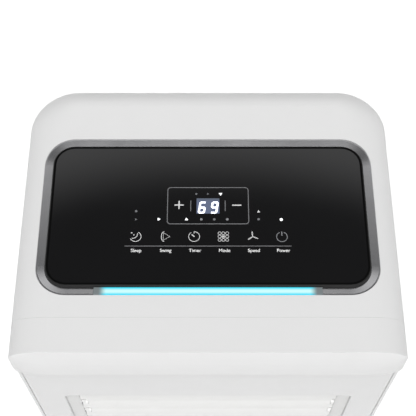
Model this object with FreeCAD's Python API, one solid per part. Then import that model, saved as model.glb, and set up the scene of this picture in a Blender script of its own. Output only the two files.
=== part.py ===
import FreeCAD, Part
import math
import os

# A floor-standing portable air conditioner. X runs to the right, Y from front to rear, Z up.
# The origin is on the floor, under the middle of the cabinet. Every length is in millimetres.

V = FreeCAD.Vector
X_AXIS = V(1, 0, 0)
Y_AXIS = V(0, 1, 0)
Z_AXIS = V(0, 0, 1)

# ---- Casters ----
caster_x = 132.0
caster_front_y = -94.0
caster_rear_y = 96.0
caster_wheel_radius = 20.0
caster_wheel_width = 7.5
caster_trail = 13.0
caster_body_width = 7.0
caster_axle_radius = 3.0
caster_stem_radius = 5.0
caster_stem_height = 14.0
caster_cap_radius = 10.0
caster_cap_thickness = 1.7
caster_clearance = 0.08
caster_gap = 0.8
caster_headroom = 2.5

caster_top = 2 * caster_wheel_radius + caster_gap + caster_cap_thickness
body_bottom = caster_top + caster_headroom

# ---- Cabinet ----
body_width = 350.0
body_depth = 288.0
body_top = 700.0
wall = 2.5
seam = 0.3
top_seam = 0.1
rear_corner_radius = 46.0
crown_height = 16.0
crown_side = 34.0
crown_rear = 24.0
crown_steps = 6
skirt_depth = 45.0

half_width = body_width / 2
rear_y = body_depth / 2
lip_y = -body_depth / 2
crown_z = body_top - crown_height
skirt_z = body_top - skirt_depth
shell_top = skirt_z - seam

# ---- Front panel: top strip, visor and face ----
visor_reach = 9.5
visor_lip_drop = 36.0
visor_brow = 0.3
visor_corner = 38.0
top_strip = 32.0
face_setback = 4.5
face_flange_gap = 5.7
face_corner = 6.0
face_flange_depth = 20.0
side_return = 4.7
side_corner = 4.0

front_y = lip_y + visor_reach
face_y = lip_y + face_setback
seam_y = front_y + top_strip
face_half = half_width - face_flange_gap

# ---- Control panel ----
panel_y = -0.2
glass_width = 294.4
glass_depth = 145.6
glass_corner = 20.0
glass_thickness = 4.0
glass_proud = 1.5
glass_chamfer = 1.2
bezel_band = 8.3
bezel_gap = 0.25
bezel_dip = 0.4
bezel_slope = 1.5
bezel_ledge = 7.0
pocket_floor = 8.5
light_length = 204.0
light_gap = 0.15
window_width = 168.0
window_depth = 84.0

glass_top = body_top + glass_proud
glass_bottom = glass_top - glass_thickness
bezel_width = glass_width + 2 * bezel_band
bezel_depth = glass_depth + 2 * bezel_band
bezel_corner = glass_corner + bezel_band
floor_z = body_top - pocket_floor

# ---- Control board and display ----
board_width = 190.0
board_depth = 96.0
board_thickness = 1.6
board_drop = 9.0
board_z = floor_z - wall - board_drop
display_width = 70.0
display_depth = 34.0
display_y = panel_y + 7.9
key_pitch = 26.8
key_count = 6
key_y = panel_y - 23.8
key_radius = 6.0

# ---- Air outlet: opening, frame, swinging blades ----
outlet_half = 138.0
outlet_drop = 112.0
outlet_corner = 6.0
outlet_edge_round = 1.6
frame_seat = 0.2
frame_lip = 6.0
frame_flange = 12.0
funnel_gap = 0.6
throat_setback = 2.0
blade_count = 5
blade_pitch = 29.0
blade_chord = 29.4
blade_thickness = 2.2
blade_bow = 1.2
blade_lean = 12.0
blade_first_drop = 137.5
blade_recess = 12.0
frame_wall = 2.5
frame_half = 128.6
blade_side_gap = 0.6
crank_plate = 2.0
crank_room = 5.0
blade_end_gap = 1.0
blade_notch = 2.6
blade_hub_wall = 2.0
crank_arm = 12.0
crank_start = 40.0
pivot_radius = 2.0
link_pin_radius = 1.5
pin_clearance = 0.08
link_width = 6.0
swing_motor_radius = 12.0
swing_motor_offset = 10.5
link_thickness = 2.6

outlet_top = body_top - outlet_drop
pivot_y = face_y + blade_recess
blade_z = [body_top - blade_first_drop - i * blade_pitch for i in range(blade_count)]
throat_top = blade_z[0] + blade_pitch / 2 + 2.5
throat_bottom = blade_z[-1] - blade_pitch / 2 - 2.5
outlet_bottom = throat_bottom - 8.0
motor_blade = blade_count // 2

# ---- Vertical vanes behind the blades ----
vane_count = 5
vane_pitch = 48.0
vane_chord = 28.0
vane_thickness = 1.8
vane_setback = 34.0
vane_arm = 9.0
vane_room = 5.0
vane_y = pivot_y + vane_setback
vane_x = [(i - (vane_count - 1) / 2) * vane_pitch for i in range(vane_count)]
throat_rear_y = vane_y + vane_chord / 2 + 6.0

# ---- Blowers ----
wheel_radius = 74.0
wheel_width = 58.0
wheel_vanes = 32
wheel_vane_thickness = 1.2
wheel_hub_radius = 10.0
wheel_hub_length = 24.0
wheel_ring_width = 11.0
wheel_ring_thickness = 2.5
wheel_plate_thickness = 2.0
wheel_vane_bow = 2.6
wheel_vane_sweep = 8.0
wheel_gap = 5.0
inlet_step = 12.0
motor_hole_step = 14.0
shaft_radius = 4.0
shaft_clearance = 0.05
scroll_wall = 2.0
scroll_start_radius = 84.0
scroll_growth = 32.0
scroll_y0 = 12.0
scroll_y1 = 84.0
tongue_angle = 60.0
scroll_step = 15
upper_blower_x = -16.0
upper_blower_lift = 111.8
lower_blower_x = 20.0
lower_blower_lift = 117.0
motor_radius = 41.0
motor_length = 52.0
duct_wall = 2.0
duct_gap = 0.5
duct_leg = 28.0
duct_height = 46.0
neck_rise = 6.0

scroll_rise = scroll_start_radius + scroll_growth * (90 - tongue_angle) / (360 - tongue_angle) + scroll_wall
lower_blower_z = body_bottom + lower_blower_lift
lower_neck_z = lower_blower_z + scroll_rise + neck_rise

# ---- Coils and compressor ----
coil_depth = 30.0
coil_y0 = 94.0
coil_half = 108.0
evaporator_height = 204.0
condenser_height = 166.0
fin_pitch = 6.0
fin_groove = 1.5
coil_tube_radius = 4.0
coil_tube_pitch = 24.0
compressor_x = -84.0
compressor_y = -70.0
compressor_radius = 52.0
compressor_height = 216.0
compressor_lift = 25.0
compressor_round = 18.0
compressor_plate_half = 56.0
compressor_plate_round = 14.0
compressor_plate_drop = 3.0
compressor_foot_reach = 46.0
compressor_foot_radius = 8.0
terminal_radius = 16.0
terminal_height = 12.0
accumulator_radius = 19.0
accumulator_height = 110.0
accumulator_lift = 40.0
accumulator_gap = 5.0
accumulator_round = 9.0
pipe_radius = 4.0
pipe_bend = 9.0
discharge_rise = 20.0
suction_rise = 44.0
tray_wall = 2.0
tray_gap = 3.0
tray_depth = 16.0
splash_x = -100.0
splash_lift = 28.0
splash_disc_radius = 13.0
splash_tip_radius = 18.0
splash_hub_radius = 5.0
splash_shaft_radius = 2.0
splash_thickness = 4.0
splash_y0 = 64.0
splash_teeth = 12
float_radius = 10.0
float_height = 14.0
float_rest = 3.3
float_post_radius = 3.0
float_post_height = 44.0
electrical_height = 114.0
electrical_x0 = 84.0
electrical_x1 = 160.0
electrical_y0 = -112.0
electrical_y1 = -50.0
electrical_round = 5.0
electrical_lid = 14.0
capacitor_radius = 17.0
capacitor_height = 25.0

compressor_z0 = body_bottom + compressor_lift
accumulator_x = compressor_x + compressor_radius + accumulator_radius + accumulator_gap
accumulator_y = compressor_y - 20.0
accumulator_z0 = compressor_z0 + accumulator_lift
condenser_z0 = body_bottom + 21.0
condenser_z1 = condenser_z0 + condenser_height

# ---- Rear: filters, exhaust port, drains, cord gland ----
rear_half = half_width - rear_corner_radius - 4.0
filter_half = 110.0
upper_filter_height = 204.0
lower_filter_height = 152.0
filter_corner = 8.0
filter_gap = 0.5
filter_thickness = 9.0
filter_border = 12.0
filter_bar = 2.4
filter_bar_pitch = 9.0
filter_pocket = 3.0
filter_bar_set = 0.8
cross_bar_set = 1.6
cross_bar_height = 3.0
mesh_thickness = 1.2
exhaust_x = 48.0
exhaust_bore = 63.5
exhaust_wall = 2.5
exhaust_flange = 9.0
exhaust_length = 28.0
drain_x = -96.0
drain_bore = 5.0
drain_wall = 2.5
drain_pocket = 11.0
drain_boss = 10.0
drain_plug_clearance = 0.05
gland_x = -98.0
gland_z = 270.0
gland_bore = 4.5
gland_radius = 10.0
screw_radius = 1.8
screw_head_radius = 3.6
screw_head_depth = 1.4
screw_length = 9.0
screw_clearance = 0.1

drain_seat_y = rear_y - wall - 0.6
exhaust_z0 = lower_neck_z + duct_gap
exhaust_z = exhaust_z0 + duct_wall + exhaust_bore + 1.0
exhaust_z1 = exhaust_z + exhaust_bore + 1.0 + duct_wall
tray_z = exhaust_z1 + 2.5
upper_blower_z = tray_z + upper_blower_lift
upper_neck_z = upper_blower_z + scroll_rise + neck_rise
evaporator_z0 = tray_z + 30.0
evaporator_z1 = evaporator_z0 + evaporator_height
upper_filter_z0 = evaporator_z0 + 2.0
upper_filter_z1 = upper_filter_z0 + upper_filter_height
lower_filter_z0 = body_bottom + 29.0
lower_filter_z1 = lower_filter_z0 + lower_filter_height
upper_drain_z = tray_z + 12.0
lower_drain_z = body_bottom + 13.0

# ---- Side panels ----
handle_length = 110.0
handle_height = 34.0
handle_depth = 26.0
handle_z = 560.0
handle_y = 0.0
vent_count = 9
vent_pitch = 13.0
vent_height = 4.5
vent_length = 130.0
vent_z = 110.0
vent_y = 30.0

# ---- Base pan ----
base_wall = 3.0
base_rim = 22.0
base_gap = 0.6


# ---- Small helpers ----
def box(x0, x1, y0, y1, z0, z1):
    return Part.makeBox(x1 - x0, y1 - y0, z1 - z0, V(x0, y0, z0))


def cylinder(radius, start, axis, length):
    return Part.makeCylinder(radius, length, start, axis)


def fuse(shapes):
    whole = shapes[0]
    if len(shapes) > 1:
        whole = whole.multiFuse(shapes[1:])
    return whole.removeSplitter()


def save(name, shape):
    os.makedirs("parts", exist_ok=True)
    solids = shape.Solids
    assert solids, name
    for solid in solids:
        assert solid.isValid() and solid.Volume > 0, name
    kept = solids[0] if len(solids) == 1 else Part.makeCompound(solids)
    kept.exportStep("parts/" + name + ".step")


def quarter(start, corner, end):
    """A quarter of an ellipse from start to end, bulging towards corner."""
    pull = 0.5522847
    curve = Part.BezierCurve()
    curve.setPoles([start, start + (corner - start) * pull, end + (corner - end) * pull, end])
    return curve.toShape()


def line(start, end):
    return Part.LineSegment(start, end).toShape()


def rounded_prism(plane, u0, u1, v0, v1, radius, w0, w1):
    """A block with its four long edges rounded. plane 'xy' runs along Z, 'xz' along Y and 'yz' along X."""
    if plane == "xy":
        block = box(u0, u1, v0, v1, w0, w1)
        along = Z_AXIS
    elif plane == "xz":
        block = box(u0, u1, w0, w1, v0, v1)
        along = Y_AXIS
    else:
        block = box(w0, w1, u0, u1, v0, v1)
        along = X_AXIS
    if radius <= 0:
        return block
    edges = [e for e in block.Edges if abs(e.tangentAt(e.FirstParameter).dot(along)) > 0.99]
    return block.makeFillet(radius, edges)


def pipe(points, radius, bend):
    """A round tube along straight runs joined by arcs of one bend radius."""
    edges = []
    last = points[0]
    for i in range(1, len(points) - 1):
        corner = points[i]
        back = (points[i - 1] - corner).normalize()
        ahead = (points[i + 1] - corner).normalize()
        half_turn = (math.pi - back.getAngle(ahead)) / 2
        reach = bend * math.tan(half_turn)
        start = corner + back * reach
        end = corner + ahead * reach
        middle_direction = (back + ahead).normalize()
        middle = corner + middle_direction * (bend / math.cos(half_turn) - bend)
        edges.append(line(last, start))
        edges.append(Part.Arc(start, middle, end).toShape())
        last = end
    edges.append(line(last, points[-1]))
    path = Part.Wire(edges)
    circle = Part.Circle(points[0], points[1] - points[0], radius).toShape()
    return path.makePipeShell([Part.Wire([circle])], True, False)


# ---- Cabinet outline, shared by every outer shell ----
def crown(step, inset):
    """Side inset, rear inset and height of one level of the rolled top edge."""
    angle = math.radians(90.0 * step / crown_steps)
    fall = 1 - math.cos(angle)
    return crown_side * fall, crown_rear * fall, crown_z + (crown_height - inset) * math.sin(angle)


def cabinet_section(side, rear, z, inset, y0):
    """One level of the cabinet's outline from the plane y0 to the rounded rear corners."""
    x = half_width - side - inset
    y = rear_y - rear - inset
    r = rear_corner_radius - inset - 0.8 * side
    points = [V(-x, y0, z), V(x, y0, z), V(x, y - r, z), V(x - r, y, z), V(r - x, y, z), V(-x, y - r, z)]
    edges = [
        line(points[0], points[1]),
        line(points[1], points[2]),
        quarter(points[2], V(x, y, z), points[3]),
        line(points[3], points[4]),
        quarter(points[4], V(-x, y, z), points[5]),
        line(points[5], points[0]),
    ]
    return Part.Wire(edges)


def cabinet_solid(inset, y0, z0):
    """The cabinet as a solid, moved in by inset, from the plane y0 back and from z0 up."""
    straight = Part.Face(cabinet_section(0, 0, z0, inset, y0)).extrude(V(0, 0, crown_z - z0))
    levels = []
    for step in range(crown_steps + 1):
        side, rear, z = crown(step, inset)
        levels.append(cabinet_section(side, rear, z, inset, y0))
    return straight.fuse(Part.makeLoft(levels, True, False))


def make_top_cover():
    """Top moulding: rolled edges, a pocket for the control panel and a floor with a window in it."""
    y0 = seam_y + top_seam / 2
    shell = cabinet_solid(0, y0, skirt_z).cut(cabinet_solid(wall, y0 - 1, skirt_z - 1))
    half_x = bezel_width / 2 + bezel_gap
    half_y = bezel_depth / 2 + bezel_gap
    r = bezel_corner + bezel_gap
    opening = rounded_prism(
        "xy", -half_x, half_x, panel_y - half_y, panel_y + half_y, r, floor_z, body_top + 5
    )
    tub = rounded_prism(
        "xy",
        -half_x - wall,
        half_x + wall,
        panel_y - half_y - wall,
        panel_y + half_y + wall,
        r + wall,
        floor_z - wall,
        body_top - wall / 2,
    )
    window = rounded_prism(
        "xy",
        -window_width / 2,
        window_width / 2,
        panel_y - window_depth / 2,
        panel_y + window_depth / 2,
        6,
        floor_z - 2 * wall,
        floor_z + wall,
    )
    cover = fuse([shell, tub.common(cabinet_solid(0, y0, skirt_z))])
    return cover.cut(opening).cut(window)


# ---- Front panel ----
def visor_front(z):
    """How far the visor stands in front of the cabinet's front edge at height z."""
    drop = body_top - z
    if drop <= visor_lip_drop:
        share = drop / visor_lip_drop
        return visor_brow + (visor_reach - visor_brow) * (1 - (1 - share) ** 1.7)
    share = (drop - visor_lip_drop) / (skirt_depth - visor_lip_drop)
    return visor_reach - (visor_reach - (front_y - face_y)) * share**2


def visor_section(side, z, inset, y1, height_z):
    x = half_width - side - inset
    forward = visor_front(height_z)
    y_end = front_y
    y_front = front_y - forward + inset
    x_straight = x - visor_corner
    points = [V(-x, y1, z), V(-x, y_end, z), V(-x_straight, y_front, z)]
    mirrored = [V(-p.x, p.y, p.z) for p in points]
    edges = [
        line(points[0], points[1]),
        quarter(points[1], V(-x, y_front, z), points[2]),
        line(points[2], mirrored[2]),
        quarter(mirrored[2], V(x, y_front, z), mirrored[1]),
        line(mirrored[1], mirrored[0]),
        line(mirrored[0], points[0]),
    ]
    return Part.Wire(edges)


def visor_solid(inset, y1):
    """Top strip and visor as one solid, moved in by inset, from its front surface back to the plane y1."""
    lower = []
    lower_levels = 7
    for i in range(lower_levels):
        z = skirt_z + (crown_z - skirt_z) * i / (lower_levels - 1)
        lower.append(visor_section(0, z, inset, y1, z))
    upper = []
    for step in range(crown_steps + 1):
        side, rear, z = crown(step, inset)
        outer_z = crown(step, 0)[2]
        upper.append(visor_section(side, z, inset, y1, outer_z))
    return Part.makeLoft(lower, True, False).fuse(Part.makeLoft(upper, True, False))


def face_prism(inset, z0, z1):
    """The front face with its two rounded corners and the return flanges behind them."""
    return rounded_prism(
        "xy",
        -face_half + inset,
        face_half - inset,
        face_y + inset,
        face_y + face_flange_depth + 2 * face_corner,
        face_corner - inset,
        z0,
        z1,
    )


def make_front_panel():
    """One moulding: top strip, visor, front face with the outlet opening, and side flanges."""
    y1 = seam_y - top_seam / 2
    cap = visor_solid(0, y1).cut(visor_solid(wall, y1 + 1))
    face = face_prism(0, body_bottom, skirt_z + wall)
    face = face.cut(face_prism(wall, body_bottom - 1, skirt_z + 2 * wall))
    face = face.cut(box(-400, 400, face_y + face_flange_depth, 0, 0, 900))
    opening = rounded_prism(
        "xz",
        -outlet_half,
        outlet_half,
        outlet_bottom,
        outlet_top,
        outlet_corner,
        face_y - 1,
        face_y + wall + 1,
    )
    face = face.cut(opening)
    mouth = [
        e
        for e in face.Edges
        if abs(e.BoundBox.YMin - face_y) < 0.01
        and abs(e.BoundBox.YMax - face_y) < 0.01
        and abs(e.BoundBox.XMin) < outlet_half + 0.1
        and abs(e.BoundBox.XMax) < outlet_half + 0.1
        and e.BoundBox.ZMin > outlet_bottom - 0.1
        and e.BoundBox.ZMax < outlet_top + 0.1
    ]
    return fuse([cap, face.makeFillet(outlet_edge_round, mouth)])


# ---- Side and rear panels ----
def side_shell():
    """Both sides and the rear wall as one thin shell with its front edges turned inwards."""
    z0 = body_bottom
    height = shell_top - z0
    outer = Part.Face(cabinet_section(0, 0, z0, 0, front_y)).extrude(V(0, 0, height))
    front_edges = [
        e
        for e in outer.Edges
        if len(e.Vertexes) == 2
        and abs(e.Vertexes[0].Y - front_y) < 0.01
        and abs(e.Vertexes[1].Y - front_y) < 0.01
        and abs(e.Vertexes[0].Z - e.Vertexes[1].Z) > 1
    ]
    outer = outer.makeFillet(side_corner, front_edges)
    inner = Part.Face(cabinet_section(0, 0, z0 - 1, wall, front_y + wall)).extrude(V(0, 0, height + 2))
    mouth = half_width - side_return
    return outer.cut(inner).cut(box(-mouth, mouth, front_y - 1, front_y + wall + 1, 0, body_top))


def handle_opening(side, grow, x_out, x_in):
    """A rounded block across a side wall where the grip cup sits."""
    low, high = sorted((side * x_out, side * x_in))
    return rounded_prism(
        "yz",
        handle_y - handle_length / 2 - grow,
        handle_y + handle_length / 2 + grow,
        handle_z - handle_height / 2 - grow,
        handle_z + handle_height / 2 + grow,
        handle_height / 2 - 1 + grow,
        low,
        high,
    )


def make_side_panel(side):
    """Side wall with its rounded rear corner, the hole for the grip cup and a row of vent slots."""
    cut_x = rear_half + seam / 2
    low, high = sorted((side * cut_x, side * (half_width + 1)))
    panel = side_shell().common(box(low, high, front_y - 1, rear_y + 1, 0, body_top))
    panel = panel.cut(handle_opening(side, 0, half_width + 2, half_width - 2 * wall))
    slots = []
    low, high = sorted((side * (half_width + 2), side * (half_width - 2 * wall)))
    for i in range(vent_count):
        z = vent_z + i * vent_pitch
        slots.append(
            rounded_prism(
                "yz",
                vent_y - vent_length / 2,
                vent_y + vent_length / 2,
                z,
                z + vent_height,
                vent_height / 2 - 0.1,
                low,
                high,
            )
        )
    return panel.cut(Part.makeCompound(slots))


def make_handle(side):
    """Grip cup behind the hole in a side wall, open to the outside."""
    face_x = half_width - wall
    cup = handle_opening(side, wall, face_x, face_x - handle_depth)
    hollow = handle_opening(side, 0, face_x + 1, face_x - handle_depth + wall)
    flange = handle_opening(side, 8, face_x, face_x - wall)
    return fuse([cup, flange]).cut(hollow)


def make_rear_panel():
    """Flat rear wall with openings for two filters, the exhaust port, the drains and the cord gland."""
    panel = side_shell().common(box(-rear_half, rear_half, 0, rear_y + 1, 0, body_top))
    y0, y1 = rear_y - 4 * wall, rear_y + 1
    cuts = [
        rounded_prism("xz", -filter_half, filter_half, z0, z1, filter_corner, y0, y1)
        for z0, z1 in ((upper_filter_z0, upper_filter_z1), (lower_filter_z0, lower_filter_z1))
    ]
    cuts.append(cylinder(exhaust_bore + exhaust_wall + 0.3, V(exhaust_x, y0, exhaust_z), Y_AXIS, y1 - y0))
    for z in (upper_drain_z, lower_drain_z):
        cuts.append(cylinder(drain_pocket, V(drain_x, y0, z), Y_AXIS, y1 - y0))
    cuts.append(cylinder(gland_radius - 3, V(gland_x, y0, gland_z), Y_AXIS, y1 - y0))
    for cut in cuts:
        panel = panel.cut(cut)
    return panel


# ---- Control panel ----
def panel_block(margin, radius, z0, z1):
    return rounded_prism(
        "xy",
        -glass_width / 2 - margin,
        glass_width / 2 + margin,
        panel_y - glass_depth / 2 - margin,
        panel_y + glass_depth / 2 + margin,
        radius,
        z0,
        z1,
    )


def make_control_glass():
    """Black touch glass with a small polished chamfer round its top edge."""
    glass = panel_block(0, glass_corner, glass_bottom, glass_top)
    top_edges = [e for e in glass.Edges if all(abs(v.Z - glass_top) < 0.01 for v in e.Vertexes)]
    return glass.makeChamfer(glass_chamfer, top_edges)


def bezel_profile_ring():
    """The whole silver ring: a band that slopes down to the glass, and a ledge under the glass."""
    outer_top = body_top - bezel_dip
    inner_top = outer_top - bezel_slope
    band_outer = panel_block(bezel_band, bezel_corner, floor_z, outer_top)
    top_edges = [e for e in band_outer.Edges if all(abs(v.Z - outer_top) < 0.01 for v in e.Vertexes)]
    band = band_outer.makeChamfer(0.4, top_edges)
    low = panel_block(bezel_gap, glass_corner + bezel_gap, 0, inner_top).BoundBox.ZMax
    cut_bottom = panel_slope_cut(low, outer_top)
    band = band.cut(cut_bottom)
    band = band.cut(panel_block(bezel_gap, glass_corner + bezel_gap, glass_bottom, body_top + 9))
    hollow = panel_block(-bezel_ledge, glass_corner - bezel_ledge, floor_z - 1, body_top + 9)
    return band.cut(hollow)


def panel_slope_cut(z_low, z_high):
    """The wedge-shaped space above the bezel band, as a loft from the glass outline to the outer one."""
    inner = panel_outline(bezel_gap, glass_corner + bezel_gap, z_low)
    outer = panel_outline(bezel_band - 1.2, bezel_corner - 1.2, z_high)
    top = panel_outline(bezel_band - 1.2, bezel_corner - 1.2, z_high + 5)
    return fuse([Part.makeLoft([inner, outer], True, True), Part.makeLoft([outer, top], True, True)])


def panel_outline(margin, radius, z):
    x = glass_width / 2 + margin
    y0 = panel_y - glass_depth / 2 - margin
    y1 = panel_y + glass_depth / 2 + margin
    r = radius
    k = r * (1 - math.sqrt(0.5))
    arcs = [
        Part.Arc(V(x - r, y0, z), V(x - k, y0 + k, z), V(x, y0 + r, z)).toShape(),
        Part.Arc(V(x, y1 - r, z), V(x - k, y1 - k, z), V(x - r, y1, z)).toShape(),
        Part.Arc(V(r - x, y1, z), V(k - x, y1 - k, z), V(-x, y1 - r, z)).toShape(),
        Part.Arc(V(-x, y0 + r, z), V(k - x, y0 + k, z), V(r - x, y0, z)).toShape(),
    ]
    lines = [
        line(V(r - x, y0, z), V(x - r, y0, z)),
        line(V(x, y0 + r, z), V(x, y1 - r, z)),
        line(V(x - r, y1, z), V(r - x, y1, z)),
        line(V(-x, y1 - r, z), V(-x, y0 + r, z)),
    ]
    return Part.Wire([lines[0], arcs[0], lines[1], arcs[1], lines[2], arcs[2], lines[3], arcs[3]])


def light_slot(gap):
    y1 = panel_y - glass_depth / 2 - bezel_gap
    half = light_length / 2 + gap
    return box(-half, half, y1 - bezel_band - 2, y1, glass_bottom - 1.5 - gap, body_top + 9)


def make_bezel_ring():
    return bezel_profile_ring().cut(light_slot(light_gap))


def make_light_bar():
    """Light guide that takes the place of the ring's band along the front of the glass."""
    return bezel_profile_ring().common(light_slot(0))


def make_control_board():
    """Circuit board under the pocket's floor, with touch springs and standoffs."""
    y0 = panel_y - board_depth / 2
    board = box(-board_width / 2, board_width / 2, y0, y0 + board_depth, board_z, board_z + board_thickness)
    pieces = [board]
    for x in (-board_width / 2 + 6, board_width / 2 - 6):
        for y in (y0 + 5, y0 + board_depth - 5):
            pieces.append(cylinder(3.5, V(x, y, board_z), Z_AXIS, floor_z - wall - board_z))
    for i in range(key_count):
        x = (i - (key_count - 1) / 2) * key_pitch
        pieces.append(cylinder(key_radius, V(x, key_y, board_z), Z_AXIS, glass_bottom - 0.2 - board_z))
    pieces.append(box(-30, 30, y0 + 70, y0 + 84, board_z - 9, board_z))
    return fuse(pieces)


def make_display_module():
    """Two-digit display that stands on the board and reaches up to the glass."""
    z0 = board_z + board_thickness
    return box(
        -display_width / 2,
        display_width / 2,
        display_y - display_depth / 2,
        display_y + display_depth / 2,
        z0,
        glass_bottom - 0.3,
    )


# ---- Air outlet ----
def make_louver_frame():
    """Funnel behind the outlet opening, cheeks that carry the blades, and the duct box with the vanes."""
    y_face = face_y + wall + frame_seat
    duct_bottom, duct_top = throat_bottom - frame_wall, throat_top + frame_wall
    y_throat = pivot_y - throat_setback
    funnel_out = Part.makeLoft(
        [
            funnel_mouth(frame_lip, y_face),
            frame_wire(frame_half + frame_wall, duct_bottom, duct_top, y_throat),
        ],
        True,
        True,
    )
    funnel_in = Part.makeLoft(
        [
            funnel_mouth(funnel_gap, y_face - 0.01),
            frame_wire(frame_half, throat_bottom, throat_top, y_throat + 0.01),
        ],
        True,
        True,
    )
    duct = box(
        -frame_half - frame_wall,
        frame_half + frame_wall,
        y_throat,
        throat_rear_y,
        duct_bottom,
        duct_top,
    )
    hollow = box(-frame_half, frame_half, y_throat - 1, throat_rear_y + 1, throat_bottom, throat_top)
    frame = fuse([funnel_out.cut(funnel_in), duct.cut(hollow)])
    flange = Part.Face(funnel_mouth(frame_flange, y_face)).extrude(V(0, 2, 0))
    frame = fuse([frame, flange.cut(funnel_solid(funnel_in, y_face))])
    holes = []
    reach = 2 * (frame_half + frame_wall) + 10
    for z in blade_z:
        start = V(-reach / 2, pivot_y, z)
        holes.append(cylinder(pivot_radius + pin_clearance, start, X_AXIS, reach))
    for x in vane_x:
        start = V(x, vane_y, throat_bottom - frame_wall - 2)
        holes.append(cylinder(pivot_radius + pin_clearance, start, Z_AXIS, throat_top - throat_bottom + 20))
    return frame.cut(Part.makeCompound(holes))


def funnel_solid(funnel_in, y_face):
    """The mouth of the funnel as a block, to keep the mounting flange clear of it."""
    b = funnel_in.BoundBox
    return box(b.XMin, b.XMax, y_face - 1, y_face + 3, b.ZMin, b.ZMax)


def funnel_mouth(growth, y):
    """The outlet opening's rectangle at y, grown by growth on every side."""
    return frame_wire(outlet_half + growth, outlet_bottom - growth, outlet_top + growth, y)


def frame_wire(half, z0, z1, y):
    corners = [V(-half, y, z0), V(half, y, z0), V(half, y, z1), V(-half, y, z1)]
    return Part.makePolygon(corners + corners[:1])


def blade_outline(length, thickness, bulge):
    """A thin slat section in the YZ plane: upright, rounded at both edges and bowed to the front."""
    h = length / 2 - thickness / 2
    t = thickness / 2
    front = Part.Arc(V(0, -t, -h), V(0, -t - bulge, 0), V(0, -t, h)).toShape()
    top = Part.Arc(V(0, -t, h), V(0, 0, h + t), V(0, t, h)).toShape()
    back = Part.Arc(V(0, t, h), V(0, t - bulge, 0), V(0, t, -h)).toShape()
    bottom = Part.Arc(V(0, t, -h), V(0, 0, -h - t), V(0, -t, -h)).toShape()
    return Part.Wire([front, top, back, bottom])


def crank_pin():
    """Where the link pin stands from the blade's pivot when the blade is closed."""
    angle = math.radians(crank_start)
    return V(0, crank_arm * math.cos(angle), crank_arm * math.sin(angle))


def make_blade(index):
    """One outlet blade with a pivot pin at each end and a crank plate with a link pin at its left end."""
    z = blade_z[index]
    left = -frame_half + crank_room
    right = frame_half - blade_end_gap
    slat = Part.Face(blade_outline(blade_chord, blade_thickness, blade_bow)).extrude(V(2 * right, 0, 0))
    slat.translate(V(-right, 0, 0))
    notch_z = pivot_radius + blade_hub_wall + 0.2
    left_notch = box(-right - 1, left, -20, 20, notch_z, blade_chord)
    right_notch = box(right - blade_notch, right + 1, -20, 20, notch_z, blade_chord)
    slat = slat.cut(left_notch).cut(right_notch)
    slat.rotate(V(0, 0, 0), X_AXIS, -blade_lean)
    pin = crank_pin()
    hub_radius = pivot_radius + blade_hub_wall
    plate = [
        cylinder(hub_radius, V(left - 0.1, 0, 0), X_AXIS, crank_plate),
        cylinder(link_pin_radius + blade_hub_wall, V(left - 0.1, pin.y, pin.z), X_AXIS, crank_plate),
    ]
    web = box(left - 0.1, left - 0.1 + crank_plate, 0, crank_arm, -1.6, 1.6)
    web.rotate(V(0, 0, 0), X_AXIS, crank_start)
    left_end = -frame_half - frame_wall - 0.5
    pivots = [
        cylinder(pivot_radius, V(left_end, 0, 0), X_AXIS, left - left_end + 1),
        cylinder(pivot_radius, V(right - 1, 0, 0), X_AXIS, frame_half - right + frame_wall + 1.5),
        cylinder(hub_radius, V(right - 3, 0, 0), X_AXIS, 3),
    ]
    link_pin = cylinder(
        link_pin_radius, V(-frame_half + 0.9, pin.y, pin.z), X_AXIS, crank_room - 0.9 + 0.5
    )
    blade = fuse([slat, web, link_pin] + plate + pivots)
    blade.translate(V(0, pivot_y, z))
    return blade


def make_louver_link():
    """Upright bar that ties the five crank pins together."""
    pin = crank_pin()
    x0 = -frame_half + 1.5
    y = pivot_y + pin.y
    z0 = blade_z[-1] + pin.z - link_width / 2 - 1
    z1 = blade_z[0] + pin.z + link_width / 2 + 1
    bar = rounded_prism(
        "yz", y - link_width / 2, y + link_width / 2, z0, z1, link_width / 2 - 0.1, x0, x0 + link_thickness
    )
    holes = [
        cylinder(link_pin_radius + pin_clearance, V(x0 - 1, y, z + pin.z), X_AXIS, link_thickness + 2)
        for z in blade_z
    ]
    return bar.cut(Part.makeCompound(holes))


def make_louver_motor():
    """Small geared motor outside the right cheek, on the pivot of the middle blade."""
    x0 = frame_half + frame_wall + 2.0
    y = pivot_y + swing_motor_offset
    z = blade_z[motor_blade]
    can = cylinder(swing_motor_radius, V(x0, y, z), X_AXIS, 19)
    ear_reach = swing_motor_radius + 7
    ears = box(x0, x0 + 1.5, y - 3.5, y + 3.5, z - ear_reach, z + ear_reach)
    boss = cylinder(2.5, V(x0 - 1, pivot_y + 2.5, z), X_AXIS, 3)
    return fuse([can, ears, boss])


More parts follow.
